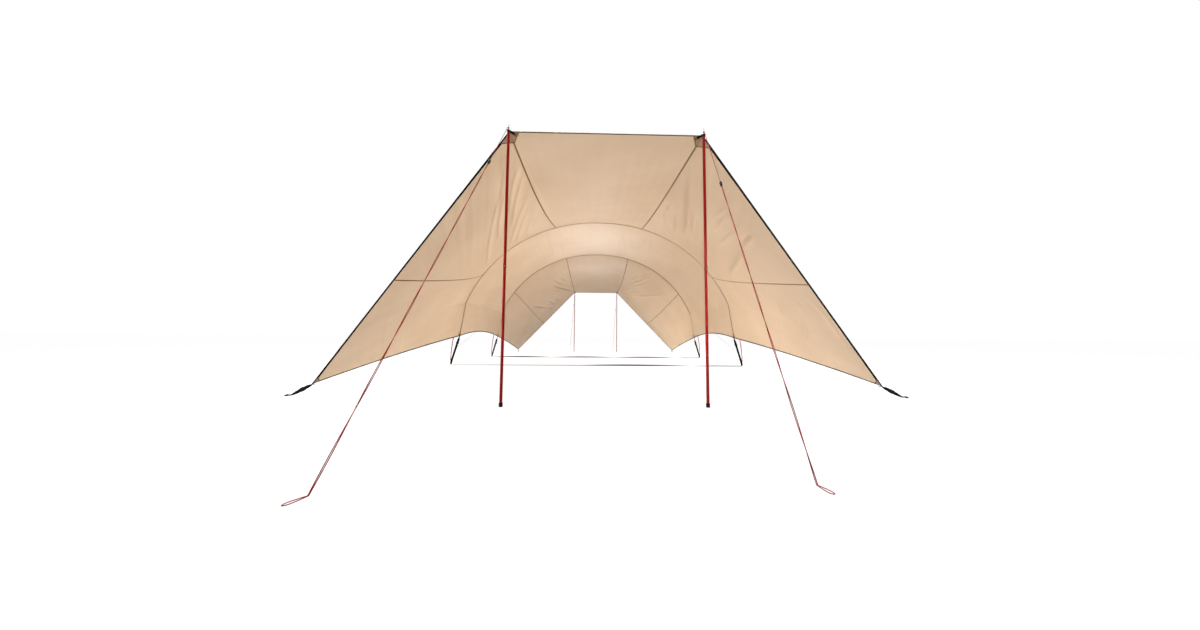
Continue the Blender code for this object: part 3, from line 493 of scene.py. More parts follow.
def wing_creases(run, v, end_sign):
    """How far the wing's cloth stands out from its smooth shape, in metres.

    Shallow waves lie along t - slope l, the line of pull from the top corner, with single creases among them.
    All fade out at the edge, at the hoop and beside the seams.
    """
    t, l = across_wing(run, v)
    far, side = np.abs(run), np.where(run < 0, -1, 1)
    calm = fade(v, 0.05) * fade(1 - v, 0.06)
    out = ROOF_WAVE * (waves(run * 0.66, 0.16, 5, 3) + waves(l + 0.2 * run, 0.30, 4, 8))
    out = out * (far < 1) * fade(1 - far, 0.12) * calm
    beside = fade(far - 1, 0.04) * fade(np.abs(far - 2), 0.03) * fade(3 - far, 0.05)
    upper, lower = fade(2.05 - far, 0.4), fade(far - 1.95, 0.3)
    for sign in (-1, 1):
        seed = 20 + 7 * sign + 3 * end_sign
        seen = sign if end_sign < 0 else -sign
        along_pull = t - CREASE_SLOPE[seen] * l
        high = PULL_WAVE * waves(along_pull, 0.13, 6, seed) * (0.35 + 0.65 * np.exp(-((far - 1.35) / 0.35) ** 2))
        high = high + FINE_WAVE * waves(along_pull, 0.055, 5, seed + 1)
        low = LOW_WAVE * waves(l - 0.75 * t, 0.12, 5, seed + 2) * np.exp(-((l - 0.9) / 0.6) ** 2)
        low = low + HEM_WAVE * waves(t + 0.25 * l, 0.34, 4, seed + 3)
        single = sum(ridge(t, l, *crease) for crease in CREASES[seen])
        out = out + (side == sign) * (far >= 1) * (high * upper + low * lower + single) * beside * calm
    return out


def creased(surface, creases, run, v, *end_sign):
    """The inside face of cloth: a surface of (run, v) moved out by its creases along its outward normal, and that
    normal, square to the surface's slopes over a small step."""
    run, v = np.broadcast_arrays(np.asarray(run, float), np.asarray(v, float))
    step = 1e-3
    across = surface(run + step, v, *end_sign) - surface(run - step, v, *end_sign)
    along = surface(run, np.clip(v + step, 0, 1), *end_sign) - surface(run, np.clip(v - step, 0, 1), *end_sign)
    normal = unit(np.cross(across, along))
    place = surface(run, v, *end_sign)
    normal = normal * -np.sign((normal * inward_of(place)).sum(-1, keepdims=True))
    return place + creases(run, v, *end_sign)[..., None] * normal, normal


def smooth_band(run, v):
    """The band without crinkles: the hoop's line carried from one hoop (v 0, front) to the other (v 1), pulled in
    between them by sag (1 - row^2), its hem raised by arch (1 - row^2), where row = 2 v - 1."""
    row = 2 * v - 1
    flat = np.insert(arch_at(run), 1, row * HOOP_Y, axis=-1)
    above_hem = fade(flat[..., 2] - HEM[1], ELBOW_Z - HEM[1])
    place = flat + ((1 - row**2) * BAND_SAG * above_hem)[..., None] * inward_of(flat)
    place[..., 2] += (1 - row**2) * BAND_HEM_ARCH * (1 - above_hem)
    return place


def band_crinkles(run, v):
    """How far the band's cloth stands out: waves that run from hoop to hoop, in patches round it."""
    t, _ = across_wing(run, np.ones(run.shape))
    t = (t + np.where(np.abs(run) > 1, PANEL_WIDTHS[0][1], 0.0)) * np.sign(run)
    row = 2 * v - 1
    out = BAND_WAVE * waves(t + 0.05 * row, 0.17, 6, 31) * (0.35 + np.abs(waves(t, 0.9, 3, 32)))
    out = out + SLANT_WAVE * waves(t - 0.22 * row, 0.12, 5, 33) * np.clip(0.5 + waves(t, 1.3, 3, 34), 0, 1)
    return out * fade(1 - np.abs(row), 0.10) * fade(3 - np.abs(run), 0.1)


wing_at = functools.partial(creased, smooth_wing, wing_creases)
band_at = functools.partial(creased, smooth_band, band_crinkles)

# A plain weave: two sets of threads that pass over and under each other, with threads of uneven thickness.
weave, weave_in, weave_out = effect("plain_weave", {"Threads": 900.0}, ["Height", "Slubs"])
counted = node(weave, "VectorMath", {0: weave_in["Vector"], "Scale": weave_in["Threads"]}, operation="SCALE")
turns = maths(weave, "MULTIPLY", counted.outputs[0], (pi,) * 3, kind="VectorMath")
turns = node(weave, "SeparateXYZ", {0: turns}).outputs
crossing = maths(weave, "MULTIPLY", maths(weave, "COSINE", turns[0]), maths(weave, "COSINE", turns[1]))
slubs = [noise(weave, weave_in["Vector"], 1.0, 2.0, along) for along in ((420.0, 9.0, 1.0), (11.0, 380.0, 1.0))]
fill(weave, weave_out, {
    "Height": span(weave, crossing, -1.0, 1.0), "Slubs": maths(weave, "MULTIPLY", maths(weave, "ADD", *slubs), 0.5),
})


def lit_through(tree, shader, share, inputs):
    """Let a share of the light pass through a cloth, by a translucent shader with these inputs."""
    glow = node(tree, "BsdfTranslucent", inputs)
    blend = node(tree, "MixShader", {0: share, 1: shader.outputs[0], 2: glow.outputs[0]})
    fill(tree, tree.nodes["Material Output"], {"Surface": blend.outputs[0]})


# Woven cotton: its colour shifts with slow clouds and thick threads, and on the wings it is painted lighter on one
# side of each crease and darker on the other, painted highlight and painted shade as if lit from +x; its relief
# is the weave over a fine crumple, and half of the light passes through it.
sand_cotton, tree, shader, uv = finish_of("sand_cotton_cloth")
cloth = made_from(tree, weave, uv)
worn = made_from(tree, wear, uv, Cloud_Scale=1.7, Scuff_Scale=26.0)
tone = span(tree, maths(tree, "MULTIPLY", cloth["Slubs"], worn["Cloud"]), 0.14, 0.38)
# Painted shade and painted highlight on the creases: the colour is scaled from 0.915 to 1.085 by the slope attribute.
painted_flank_shade = node(tree, "Attribute", {}, attribute_name="painted_crease_shade").outputs["Fac"]
painted_shade_gain = span(tree, painted_flank_shade, -1.0, 1.0, 0.915, 1.085)
plain = mix(tree, tone, (0.69, 0.565, 0.435), (0.74, 0.625, 0.495))
shade = maths(tree, "MULTIPLY", plain, painted_shade_gain, kind="VectorMath")
crumple = node(tree, "TexNoise", {"Vector": uv, "Scale": 13.0, "Detail": 4.0, "Roughness": 0.55}).outputs["Fac"]
relief = bump(tree, cloth["Height"], 0.35, 0.00015, bump(tree, crumple, 0.35, 0.006))
fill(tree, shader, {"Base Color": shade, "Roughness": 0.40, "Normal": relief})
lit_through(tree, shader, 0.50, {"Color": shade, "Normal": relief})


def cloth_sheet(name, surface, rows, columns, *end_sign):
    """A sheet of cloth over a surface of (run, v), made thick outwards, its UV in metres from the middle line and
    from v 0. A wing also gets a point attribute for painted shade and painted highlight on its creases: -dh/dx, h the
    height of its creases, over the slope at which the painting is full."""
    run, v = np.meshgrid(columns, rows, indexing="xy")
    place, normal = surface(run, v, *end_sign)
    faces, r, c = quads(*run.shape)
    if np.cross(place[0, 1] - place[0, 0], place[1, 0] - place[0, 0]) @ normal[0, 0] < 0:
        faces, r, c = faces[:, ::-1], r[:, ::-1], c[:, ::-1]
    across, down = (np.linalg.norm(np.diff(place, axis=axis), axis=-1) for axis in (1, 0))
    u = np.insert(np.cumsum(across, axis=1), 0, 0.0, axis=1)
    w = np.insert(np.cumsum(down, axis=0), 0, 0.0, axis=0)
    u -= u[:, len(columns) // 2:][:, :1]
    shape = place.reshape(-1, 3), [(faces, np.stack([u[r, c], w[r, c]], axis=-1))]
    made = piece(name, {sand_cotton: [shape]}, crisp=60, open_sheet=True)
    if end_sign:
        # The slopes of the creases' sides, kept on the wing for its painted shade and painted highlight.
        slope = -np.gradient(wing_creases(run, v, *end_sign), axis=1) / np.gradient(u, axis=1)
        painted_shades = made.data.attributes.new("painted_crease_shade", "FLOAT", "POINT")
        painted_shades.data.foreach_set("value", np.clip(slope / FULL_PAINTED_SHADE_SLOPE, -1, 1).astype(np.float32).ravel())
    wall = made.modifiers.new("cloth", "SOLIDIFY")
    wall.thickness, wall.offset = CLOTH_THICKNESS, 1.0
    return made


half_runs = [np.linspace(n, n + 1, count + 1)[:-1] for n, count in enumerate((ROOF_RUNS, UPPER_RUNS, LOWER_RUNS))]
half_runs = np.concatenate([*half_runs, [3.0]])
runs = np.concatenate([-half_runs[:0:-1], half_runs])
rows = np.linspace(0, 1, WING_ROWS)
rows = 0.75 * rows + 0.25 * rows**2  # closer together at the edge
for end, end_sign in ENDS.items():
    wing = cloth_sheet(f"{end}_canopy_wing", wing_at, rows, runs, end_sign)
    panels = [f"{end}_{side}_{level}_panel" for side in SIDES for level in ("upper", "lower")]
    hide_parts(f"{end}_roof_panel", *panels)
band_runs = np.concatenate([np.linspace(-3, 0, BAND_RUNS)[:-1], np.linspace(0, 3, BAND_RUNS)])
band = cloth_sheet("canopy_band", band_at, np.linspace(0, 1, BAND_ROWS), band_runs)
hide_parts("tunnel_band")

# The hoop sleeves. A cotton tube for the pole on the outside of each hoop seam, its two edges turned out flat
# and sewn down on the cloth. It stops at the elbows, where the pole comes out.
SLEEVE_RADIUS, SLEEVE_WALL, FLANGE_REACH, SLEEVE_STEP = 0.0093, 0.0008, 0.019, 0.016

# Stitching: rows of thread each side of the middle of a strip, as dashes along it.
stitching, stitch_in, stitch_out = effect(
    "stitching", {"Row Offset": 0.005, "Stitch": 0.0035, "Thread": 0.0009}, ["Thread Mask", "Height"]
)
aside, along = node(stitching, "SeparateXYZ", {0: stitch_in["Vector"]}).outputs[:2]
off_row = maths(stitching, "SUBTRACT", maths(stitching, "ABSOLUTE", aside), stitch_in["Row Offset"])
threads = maths(stitching, "DIVIDE", maths(stitching, "ABSOLUTE", off_row), stitch_in["Thread"])
within = maths(stitching, "FRACT", maths(stitching, "DIVIDE", along, stitch_in["Stitch"]))
off_middle = maths(stitching, "ABSOLUTE", maths(stitching, "SUBTRACT", within, 0.5))
mask = maths(stitching, "MULTIPLY", span(stitching, threads, 0.65, 0.35), span(stitching, off_middle, 0.44, 0.34))
fill(stitching, stitch_out, {"Thread Mask": mask, "Height": mask})


def sewn_cotton(name, colour, thread, row, through=0.0):
    """Doubled cotton with two rows of stitching: the weave's colour, and the thread's where a stitch lies."""
    made, tree, shader, uv = finish_of(name)
    cloth, sewn = made_from(tree, weave, uv), made_from(tree, stitching, uv, Row_Offset=row)
    ground = mix(tree, cloth["Slubs"], [c * 0.85 for c in colour], [c * 1.15 for c in colour])
    shade = mix(tree, sewn["Thread Mask"], ground, thread)
    relief = bump(tree, sewn["Height"], 0.8, 0.0006, bump(tree, cloth["Height"], 0.35, 0.00015))
    fill(tree, shader, {"Base Color": shade, "Roughness": 0.85, "Specular IOR Level": 0.12, "Normal": relief})
    lit_through(tree, shader, through, {"Color": shade})
    return made


sleeve_cotton = sewn_cotton("sleeve_cotton_cloth", (0.62, 0.43, 0.275), (0.40, 0.26, 0.14), 0.0165, through=0.12)


def sleeve_profile(ripple):
    """A tube on two flat edges: the arc r (sin t, cos t) down to each side, then out along the cloth, and back
    along the same line one wall thickness inside."""
    turn = np.linspace(-2.55, 2.55, 23)
    radius = SLEEVE_RADIUS * (1 + 0.05 * ripple)
    outer = radius * round_at(turn)[:, ::-1]
    base = [0.0, CLOTH_THICKNESS + 0.0004 - SLEEVE_INSET]
    left = [(-FLANGE_REACH, SLEEVE_WALL), (-0.0085, SLEEVE_WALL), (-0.0062, 0.0020)] + np.array(base)
    under = [(0.0053, 0.0010), (0.0080, 0.0), (FLANGE_REACH, 0.0)] + np.array(base)
    inner = outer[::-1] * (radius - SLEEVE_WALL) / radius
    return np.concatenate([left, outer, left[::-1] * [-1, 1], under[::-1], inner, under * [-1, 1]])


for end, end_sign in ENDS.items():
    angle = np.linspace(-ELBOW_ANGLE, ELBOW_ANGLE, 4001)
    fine = hoop_line(angle, end_sign * HOOP_Y)
    whole = lengths(fine)[-1]
    line = stations(fine, np.linspace(0.0, whole, round(whole / SLEEVE_STEP) + 1))
    run = lengths(line)
    outward = hoop_line(np.interp(run, lengths(fine), angle), end_sign * HOOP_Y, 1.0) - line
    ripple = waves(run, 0.11, 6, 40 + end_sign) * fade(np.minimum(run, run[-1] - run), 0.05)
    profiles = np.stack([sleeve_profile(value) for value in ripple])
    profiles[:, :3, 0] *= 1 + 0.04 * waves(run, 0.05, 5, 44)[:, None]
    sleeve = piece(f"{end}_pole_sleeve", {sleeve_cotton: [strip(profiles, line, outward)]}, crisp=50)
    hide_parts(f"{end}_hoop_sleeve")

# The seams. The panels of a wing are felled together, the band and the wings meet in a seam under each hoop,
# and both are sewn twice. They show darker, because the cloth is four deep there: their dark brown is painted
# shade for the light that the four layers hold back, on a real seam with its stitching.
ROOF_SEAM_WIDTH, SIDE_SEAM_WIDTH, SEAM_THICKNESS, HOOP_SEAM_THICKNESS = 0.013, 0.011, 0.0032, 0.0030
SEAM_BOW = {-2.0: 0.045, -1.0: 0.036, 1.0: 0.014, 2.0: 0.030}  # of a panel, away from the top, in the front wing
seam_cotton_with_painted_shade = sewn_cotton("seam_cotton_painted_shade_cloth", (0.40, 0.235, 0.115), (0.22, 0.12, 0.055), 0.0045, through=0.30)
hoop_seam_cotton_with_painted_shade = sewn_cotton(
    "hoop_seam_cotton_painted_shade_cloth", (0.28, 0.16, 0.075), (0.15, 0.085, 0.038), 0.006, through=0.20
)
# The front hoop's seam is made wider and darker than the rear's: painted shadow of the sleeve and pole outside it.
HOOP_SEAMS = {"front": (0.018, hoop_seam_cotton_with_painted_shade), "rear": (0.008, seam_cotton_with_painted_shade)}


def flat_oval(width, thickness, count=10, rise=0.0):
    """A flattened oval, |x / a|^4 + |y / b|^4 = 1, its middle raised by rise."""
    shape = round_at((np.arange(count) + 0.5) * 2 * pi / count)
    return np.sign(shape) * np.abs(shape) ** 0.5 * [width / 2, thickness / 2] + [0.0, rise]


def sewn_on(width, thickness, place, normal):
    """A flat strip through the cloth, with as much of it inside as outside."""
    return strip(flat_oval(width, thickness, rise=CLOTH_THICKNESS / 2), place, normal)


seam_pieces = {}
for end, end_sign in ENDS.items():
    seams = []
    v = np.linspace(0.004, 1.0, 121)
    for mark in SEAM_BOW:
        bow = copysign(SEAM_BOW[-end_sign * mark], mark) * np.sin(pi * v)
        width = ROOF_SEAM_WIDTH if abs(mark) == 1 else SIDE_SEAM_WIDTH
        seams.append(sewn_on(width, SEAM_THICKNESS, *wing_at(mark + bow, v, end_sign)))
    width, cotton = HOOP_SEAMS[end]
    hoop_seam = strip(flat_oval(width, HOOP_SEAM_THICKNESS), *wing_at(np.linspace(-3, 3, 401), 1.0, end_sign))
    seam_pieces[end] = [
        piece(f"{end}_wing_seams", {seam_cotton_with_painted_shade: seams}), piece(f"{end}_hoop_seam", {cotton: [hoop_seam]})
    ]

# The hems. The straight top edges carry a folded hem with a grey-brown tape in it, and the lower hem of the
# whole canopy is folded narrow and sewn from one ground corner to the other.
TOP_HEM_WIDTH, TOP_HEM_THICKNESS, TOP_HEM_INSET = 0.014, 0.0034, 0.0078
LOW_HEM_WIDTH, LOW_HEM_THICKNESS, LOW_HEM_INSET, LOWER_PANEL_WIDTH = 0.0155, 0.0030, 0.0067, 1.05
hem_cotton = sewn_cotton("hem_cotton_tape", (0.150, 0.095, 0.055), (0.08, 0.05, 0.028), 0.0045)
low_hem_cotton = sewn_cotton("low_hem_cotton_tape", (0.060, 0.038, 0.021), (0.035, 0.022, 0.012), 0.0035)
for end, end_sign in ENDS.items():
    top_edge = wing_at(np.linspace(-1, 1, 101), TOP_HEM_INSET / WING_LENGTH, end_sign)
    top_hem = sewn_on(TOP_HEM_WIDTH, TOP_HEM_THICKNESS, *top_edge)
    seam_pieces[end].append(piece(f"{end}_top_hem", {hem_cotton: [top_hem]}))
for side, side_sign in SIDES.items():
    v, mark = np.linspace(0.006, 1.0, 101), side_sign * (3 - LOW_HEM_INSET / LOWER_PANEL_WIDTH)
    middle = (part[1:-1] for part in band_at(mark, np.linspace(0, 1, 61)))
    stretches = zip(wing_at(mark, v, -1), middle, wing_at(mark, v[::-1], 1))
    hem = sewn_on(LOW_HEM_WIDTH, LOW_HEM_THICKNESS, *(np.concatenate(stretch) for stretch in stretches))
    piece(f"{side}_low_hem", {low_hem_cotton: [hem]})

# Reinforcements. Doubled cloth is sewn on both faces where the canopy is pulled: at the top corners, at the
# ground corners and at the hem under each hoop. A close row of stitches closes their free edges.
patch_cotton = sewn_cotton("patch_cotton_cloth", (0.62, 0.435, 0.295), (0.30, 0.19, 0.11), 0.0, through=0.35)
PATCH_INSIDE, PATCH_OUTSIDE, PATCH_STEPS, PATCH_STITCH = 0.0011, 0.0021, 9, (0.007, 0.0062)
ROOF_PATCH = [(0.905, 0.0015), (1.0, 0.0015), (1.0, 0.052), (0.954, 0.027)]  # corners (run, v), as the next ones
UPPER_PATCH = [(1.0, 0.0045), (1.072, 0.0045), (1.037, 0.028), (1.0, 0.052)]
GROUND_PATCH = [(2.935, 0.0045), (2.994, 0.0045), (2.994, 0.022), (2.980, 0.020)]
HEM_PATCH = [(2.93, 0.985), (2.994, 0.975), (2.994, 0.9995), (2.93, 0.9995)]
BAND_PATCHES = {
    end: [(2.93, start), (2.994, start), (2.994, stop), (2.93, (start + stop) / 2)]
    for end, start, stop in (("front", 0.0005, 0.02), ("rear", 0.9995, 0.98))
}
STITCHED = ((ROOF_PATCH, 0, 3), (ROOF_PATCH, 3, 2), (UPPER_PATCH, 1, 2), (UPPER_PATCH, 2, 3), (GROUND_PATCH, 0, 3))


def patch(surface, corners, *end_sign):
    """A patch between four corners (run, v) of a surface, straight between them: a grid of points moved inwards
    and outwards, closed all round. UV is in metres across and along the grid."""
    a, b = np.meshgrid(np.linspace(0, 1, PATCH_STEPS), np.linspace(0, 1, PATCH_STEPS), indexing="ij")
    weight = np.stack([(1 - a) * (1 - b), (1 - a) * b, a * b, a * (1 - b)], axis=-1)
    place, normal = surface(*np.moveaxis(weight @ corners, -1, 0), *end_sign)
    faces, r, c = quads(PATCH_STEPS, PATCH_STEPS)
    across, along = lengths(place[PATCH_STEPS // 2]), lengths(place[:, PATCH_STEPS // 2])
    uv = np.stack([across[c], along[r]], axis=-1)
    count = PATCH_STEPS**2
    number = np.arange(count).reshape(a.shape)
    rim = np.concatenate([number[0], number[1:, -1], number[-1, -2::-1], number[-2:0:-1, 0]])
    following = np.roll(rim, -1)
    walls = np.stack([rim, following, following + count, rim + count], axis=-1)
    points = np.concatenate([place - PATCH_INSIDE * normal, place + PATCH_OUTSIDE * normal]).reshape(-1, 3)
    return points, [(faces[:, ::-1], uv[:, ::-1]), (faces + count, uv), (walls, np.zeros((len(walls), 4, 2)))]


for end, end_sign in ENDS.items():
    patches, stitches = [], []
    for sign in SIDES.values():
        for corners in (ROOF_PATCH, UPPER_PATCH, GROUND_PATCH, HEM_PATCH):
            patches.append(patch(wing_at, np.multiply(corners, [sign, 1]), end_sign))
        patches.append(patch(band_at, np.multiply(BAND_PATCHES[end], [sign, 1])))
        for corners, start, stop in STITCHED:
            row = np.linspace(*np.multiply(corners, [sign, 1])[[start, stop]], 17)
            stitches.append(sewn_on(*PATCH_STITCH, *wing_at(*row.T, end_sign)))
    # The stitch rows share the hoop seam's dark cotton and its painted shade.
    made_of = {patch_cotton: patches, hoop_seam_cotton_with_painted_shade: stitches}
    seam_pieces[end].append(piece(f"{end}_reinforcements", made_of))

# The edge webbing. Black webbing folded over each sloping edge of a wing, from the top corner to the ground
# corner, and sewn through both faces.
EDGE_WEBBING_WIDTH, EDGE_WEBBING_THICKNESS, EDGE_OVERHANG, EDGE_STEPS = 0.027, 0.0036, 0.0006, 141

# Ribbed webbing: close ribs across the strap that bend at its middle, as a narrow herringbone.
ribs, ribs_in, ribs_out = effect("webbing_ribs", {"Ribs": 620.0}, ["Height", "Tone"])
aside, along = node(ribs, "SeparateXYZ", {0: ribs_in["Vector"]}).outputs[:2]
slanted = maths(ribs, "ADD", along, maths(ribs, "PINGPONG", aside, 0.006))
turns = maths(ribs, "MULTIPLY", maths(ribs, "MULTIPLY", slanted, ribs_in["Ribs"]), 2 * pi)
height = span(ribs, maths(ribs, "SINE", turns), -1.0, 1.0)
fuzz = noise(ribs, ribs_in["Vector"], 900.0, 2.0)
fill(ribs, ribs_out, {"Height": height, "Tone": maths(ribs, "MULTIPLY", fuzz, height)})


def webbing(name, colour, light_colour, thread, row=0.004):
    """Woven webbing: ribs with lighter tops, fuzz between them and a row of stitching each side."""
    made, tree, shader, uv = finish_of(name)
    ribbed, sewn = made_from(tree, ribs, uv), made_from(tree, stitching, uv, Row_Offset=row)
    shade = mix(tree, sewn["Thread Mask"], mix(tree, ribbed["Tone"], colour, light_colour), thread)
    relief = bump(tree, sewn["Height"], 0.8, 0.0005, bump(tree, ribbed["Height"], 0.6, 0.0003))
    fill(tree, shader, {"Base Color": shade, "Roughness": 0.85, "Specular IOR Level": 0.05, "Normal": relief})
    return made


black_webbing = webbing("black_webbing_weave", (0.0045, 0.0040, 0.0035), (0.012, 0.011, 0.010), (0.018, 0.017, 0.015))
for end, end_sign, side, side_sign in CORNERS:
    far = np.linspace(1.0, 3.0, EDGE_STEPS)
    reach = np.linalg.norm(np.insert(arch_at(far), 1, end_sign * HOOP_Y, axis=1) - edge_at(far, end_sign), axis=-1)
    place, normal = wing_at(side_sign * far, (EDGE_WEBBING_WIDTH / 2 - EDGE_OVERHANG) / reach, end_sign)
    thickness = EDGE_WEBBING_THICKNESS + 0.0002 * waves(lengths(place), 0.07, 4, 51)
    profile = np.multiply(flat_oval(EDGE_WEBBING_WIDTH, 1.0, 12), [[[1.0, value]] for value in thickness])
    profile += [0.0, CLOTH_THICKNESS / 2 + GAP]
    edge = piece(f"{end}_{side}_edge_binding", {black_webbing: [strip(profile, place, normal)]})
    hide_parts(f"{end}_{side}_edge_webbing")

# The uprights. Two sections of red anodised tube with a swaged joint half way and a spring button in it, a
# black cap on top that carries a steel spike, and a ribbed rubber foot.
UPRIGHT_Y, UPRIGHT_RADIUS, JOINT_Z = EDGE_Y + 0.015, 0.0095, 0.90
STRAP_HALF = 0.00125  # half the thickness of a strap
FIRST_ROW = 1 / 8
SEAM_RISE = hoop_at(ROOF_ANGLE, -SLEEVE_INSET)[1] - UPRIGHT_HEIGHT
ROOF_RISE = (SEAM_RISE - ROOF_SAG * 6.75 * FIRST_ROW * (1 - FIRST_ROW)) / (EDGE_Y - HOOP_Y)
TAB_Z = UPRIGHT_HEIGHT - ROOF_RISE * (UPRIGHT_Y - EDGE_Y) - 2 * GAP - STRAP_HALF
SHOULDER_Z = TAB_Z - STRAP_HALF - ROOF_RISE * UPRIGHT_RADIUS - GAP
# Outlines (radius, height): the tubes' and the cap's radius is what they stand out by, and the height is above
# the ground, the joint, the cap's shoulder or the spike's tip.
LOWER_TUBE = [(-0.0008, 0.0265), (0, 0.0273), (0, 0.25), (0, 0.55)]
SWAGE = [(0, -0.032), (0.0004, -0.0305), (0.0008, -0.028), (0.0008, -0.001), (0.0004, 0), (-0.0012, 0)]
SWAGED_IN = [(-0.0016, -0.01), (-0.0016, 0.0012), (-0.0003, 0.0016), (0, 0.0024)]
UPPER_TUBE, UPPER_END = [(0, 1.2), (0, 1.5)], [(0, -0.0165), (-0.0005, -0.016)]
CAP = [(-0.0006, -0.018), (0.0002, -0.0155), (0.0002, -0.0025), (-0.0006, -0.0008), (-0.0024, 0), (-0.008, 0)]
SPIKE_RADIUS, SPIKE_TOP = 0.0025, UPRIGHT_HEIGHT + 0.045
SPIKE_TIP = [(SPIKE_RADIUS, -0.005), (0.0021, -0.0025), (0.0012, -0.0006), (0.0004, 0)]
FOOT_TOP, RIB_HEIGHTS = [(0.0098, 0.0262), (0.0112, 0.0258), (0.0119, 0.0245)], np.linspace(0.0222, 0.0072, 5)
RIB = [(0.0119, 0.0010), (0.0125, 0.0004), (0.0125, -0.0008), (0.0119, -0.0014)]
FOOT_BASE = [(0.0125, 0.0040), (0.0125, 0.0016), (0.0113, 0.0), (0.0065, 0.0), (0.0060, 0.0014), (0.001, 0.0016)]
BUTTON_RADIUS, BUTTON_HEIGHT, BUTTON_DROP, ROUND_STEPS = 0.0026, 0.0016, 0.014, 40


def turned(place, *stretches):
    """An outline turned about the upright line through place: (r cos t, r sin t, h).

    Its stretches are lists of (radius, height), each with what is added to all of the list.
    """
    outline = np.concatenate([np.add(points, added) for points, added in stretches])
    ring, count = circle(1.0, ROUND_STEPS), len(outline)
    height = np.broadcast_to(outline[:, 1:, None], (count, ROUND_STEPS, 1))
    points = np.concatenate([outline[:, :1, None] * ring, height], axis=-1)
    faces, r, c = quads(count, ROUND_STEPS, False, True)
    uv = np.stack([c / ROUND_STEPS * 2 * pi * outline[:, 0].max(), lengths(outline)[r]], axis=-1)
    first = np.arange(ROUND_STEPS)[None]
    base = first[:, ::-1], ring[None, ::-1] * outline[0, 0]
    head = first + (count - 1) * ROUND_STEPS, ring[None] * outline[-1, 0]
    return points.reshape(-1, 3) + place, [(faces, uv), base, head]


def moulded(name, colour, light_colour, roughness, grain, depth):
    """Moulded rubber or plastic: a dark ground, paler where it is rubbed, with a fine moulded grain."""
    made, tree, shader, _ = finish_of(name)
    place = node(tree, "TexCoord", {}).outputs["Object"]
    worn = made_from(tree, wear, place, Cloud_Scale=25.0, Scuff_Scale=130.0)
    grains = node(tree, "TexVoronoi", {"Vector": place, "Scale": grain}).outputs["Distance"]
    fill(tree, shader, {
        "Base Color": mix(tree, worn["Scuffs"], colour, light_colour), "Specular IOR Level": 0.2,
        "Roughness": span(tree, worn["Cloud"], 0.0, 1.0, roughness - 0.1, roughness + 0.1),
        "Normal": bump(tree, grains, 0.3, depth),
    })
    return made


black_rubber = moulded("black_rubber_moulded", (0.008, 0.007, 0.007), (0.028, 0.026, 0.024), 0.75, 1500.0, 0.0002)
black_plastic = moulded("black_plastic_moulded", (0.004, 0.0035, 0.003), (0.012, 0.011, 0.010), 0.6, 2200.0, 0.0001)
for end, end_sign, side, side_sign in CORNERS:
    place = np.array([side_sign * UPRIGHT_X, end_sign * UPRIGHT_Y, 0.0])
    on_ground, at_joint, at_shoulder = ((UPRIGHT_RADIUS, height) for height in (0.0, JOINT_Z, SHOULDER_Z))
    tubes = [
        turned(place, (LOWER_TUBE, on_ground), (SWAGE, at_joint)),
        turned(place, (SWAGED_IN, at_joint), (UPPER_TUBE, on_ground), (UPPER_END, at_shoulder)),
    ]
    cap = turned(place, (CAP, at_shoulder))
    spike = turned(place, ([(SPIKE_RADIUS, SHOULDER_Z - 0.004)], 0), (SPIKE_TIP, (0, SPIKE_TOP)))
    dome = round_at(np.linspace(0, pi / 2, 6)) * [BUTTON_RADIUS, BUTTON_HEIGHT]
    dome, dome_groups = turned((0, 0, 0), (dome, (0.0002, 0)))
    dome = dome[:, [0, 2, 1]] * [1, end_sign, 1] + place
    dome += [0, end_sign * (UPRIGHT_RADIUS + 0.0006), JOINT_Z - BUTTON_DROP]
    made_of = {red_aluminium: tubes, black_plastic: [cap], bright_steel: [spike, (dome, dome_groups)]}
    upright = piece(f"{end}_{side}_upright_tube", made_of, crisp=35)
    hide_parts(f"{end}_{side}_upright")
    foot = turned(place, (FOOT_TOP, 0), *((RIB, (0, height)) for height in RIB_HEIGHTS), (FOOT_BASE, 0))
    foot_piece = piece(f"{end}_{side}_rubber_foot", {black_rubber: [foot]}, crisp=35)
    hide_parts(f"{end}_{side}_upright_foot")

# The top tabs. A short piece of black webbing sewn under each top corner of the roof, with a steel eyelet
# that drops over the spike of the upright, tipped towards the end by the pull, its sewn end under a cotton patch.
TAB_WIDTH, TAB_THICKNESS, TAB_LENGTH, TAB_LIP, TAB_HEADING = 0.021, 0.0024, 0.062, 0.011, radians(35)
TAB_TIP, TAB_DROP, TAB_SEWN, TAB_ROUNDING, COVER_REACH = 0.4, 0.004, 0.009, 0.004, 0.012
EYELET_RADIUS, EYELET_WIRE, EYELET_LIFT, EYELET_SQUASH = 0.0047, 0.0015, 0.0016, 0.7
tab_webbing = webbing(
    "tab_webbing_weave", (0.0035, 0.003, 0.0025), (0.010, 0.009, 0.008), (0.02, 0.016, 0.012), 0.0075
)
tab_cover_cotton = sewn_cotton("tab_cover_cotton_cloth", (0.17, 0.105, 0.055), (0.08, 0.045, 0.022), 0.0045)


def rounded_strip(width, thickness, count=4):
    """The section of webbing: a long rectangle with half-round edges."""
    right = round_at(np.linspace(-pi / 2, pi / 2, count + 1)) * thickness / 2 + [width / 2 - thickness / 2, 0]
    return np.concatenate([right, -right])


def tape(width, thickness, path, facing):
    """Webbing of one width carried along a path."""
    return strip(rounded_strip(width, thickness), path, facing)


def round_axis(axis, hint, turn, radius):
    """Places round an axis: radius (a cos t + b sin t), a square to the axis and to a hint, b square to both."""
    first = unit(np.cross(axis, hint))
    return radius * (np.cos(turn)[:, None] * first + np.sin(turn)[:, None] * np.cross(axis, first))


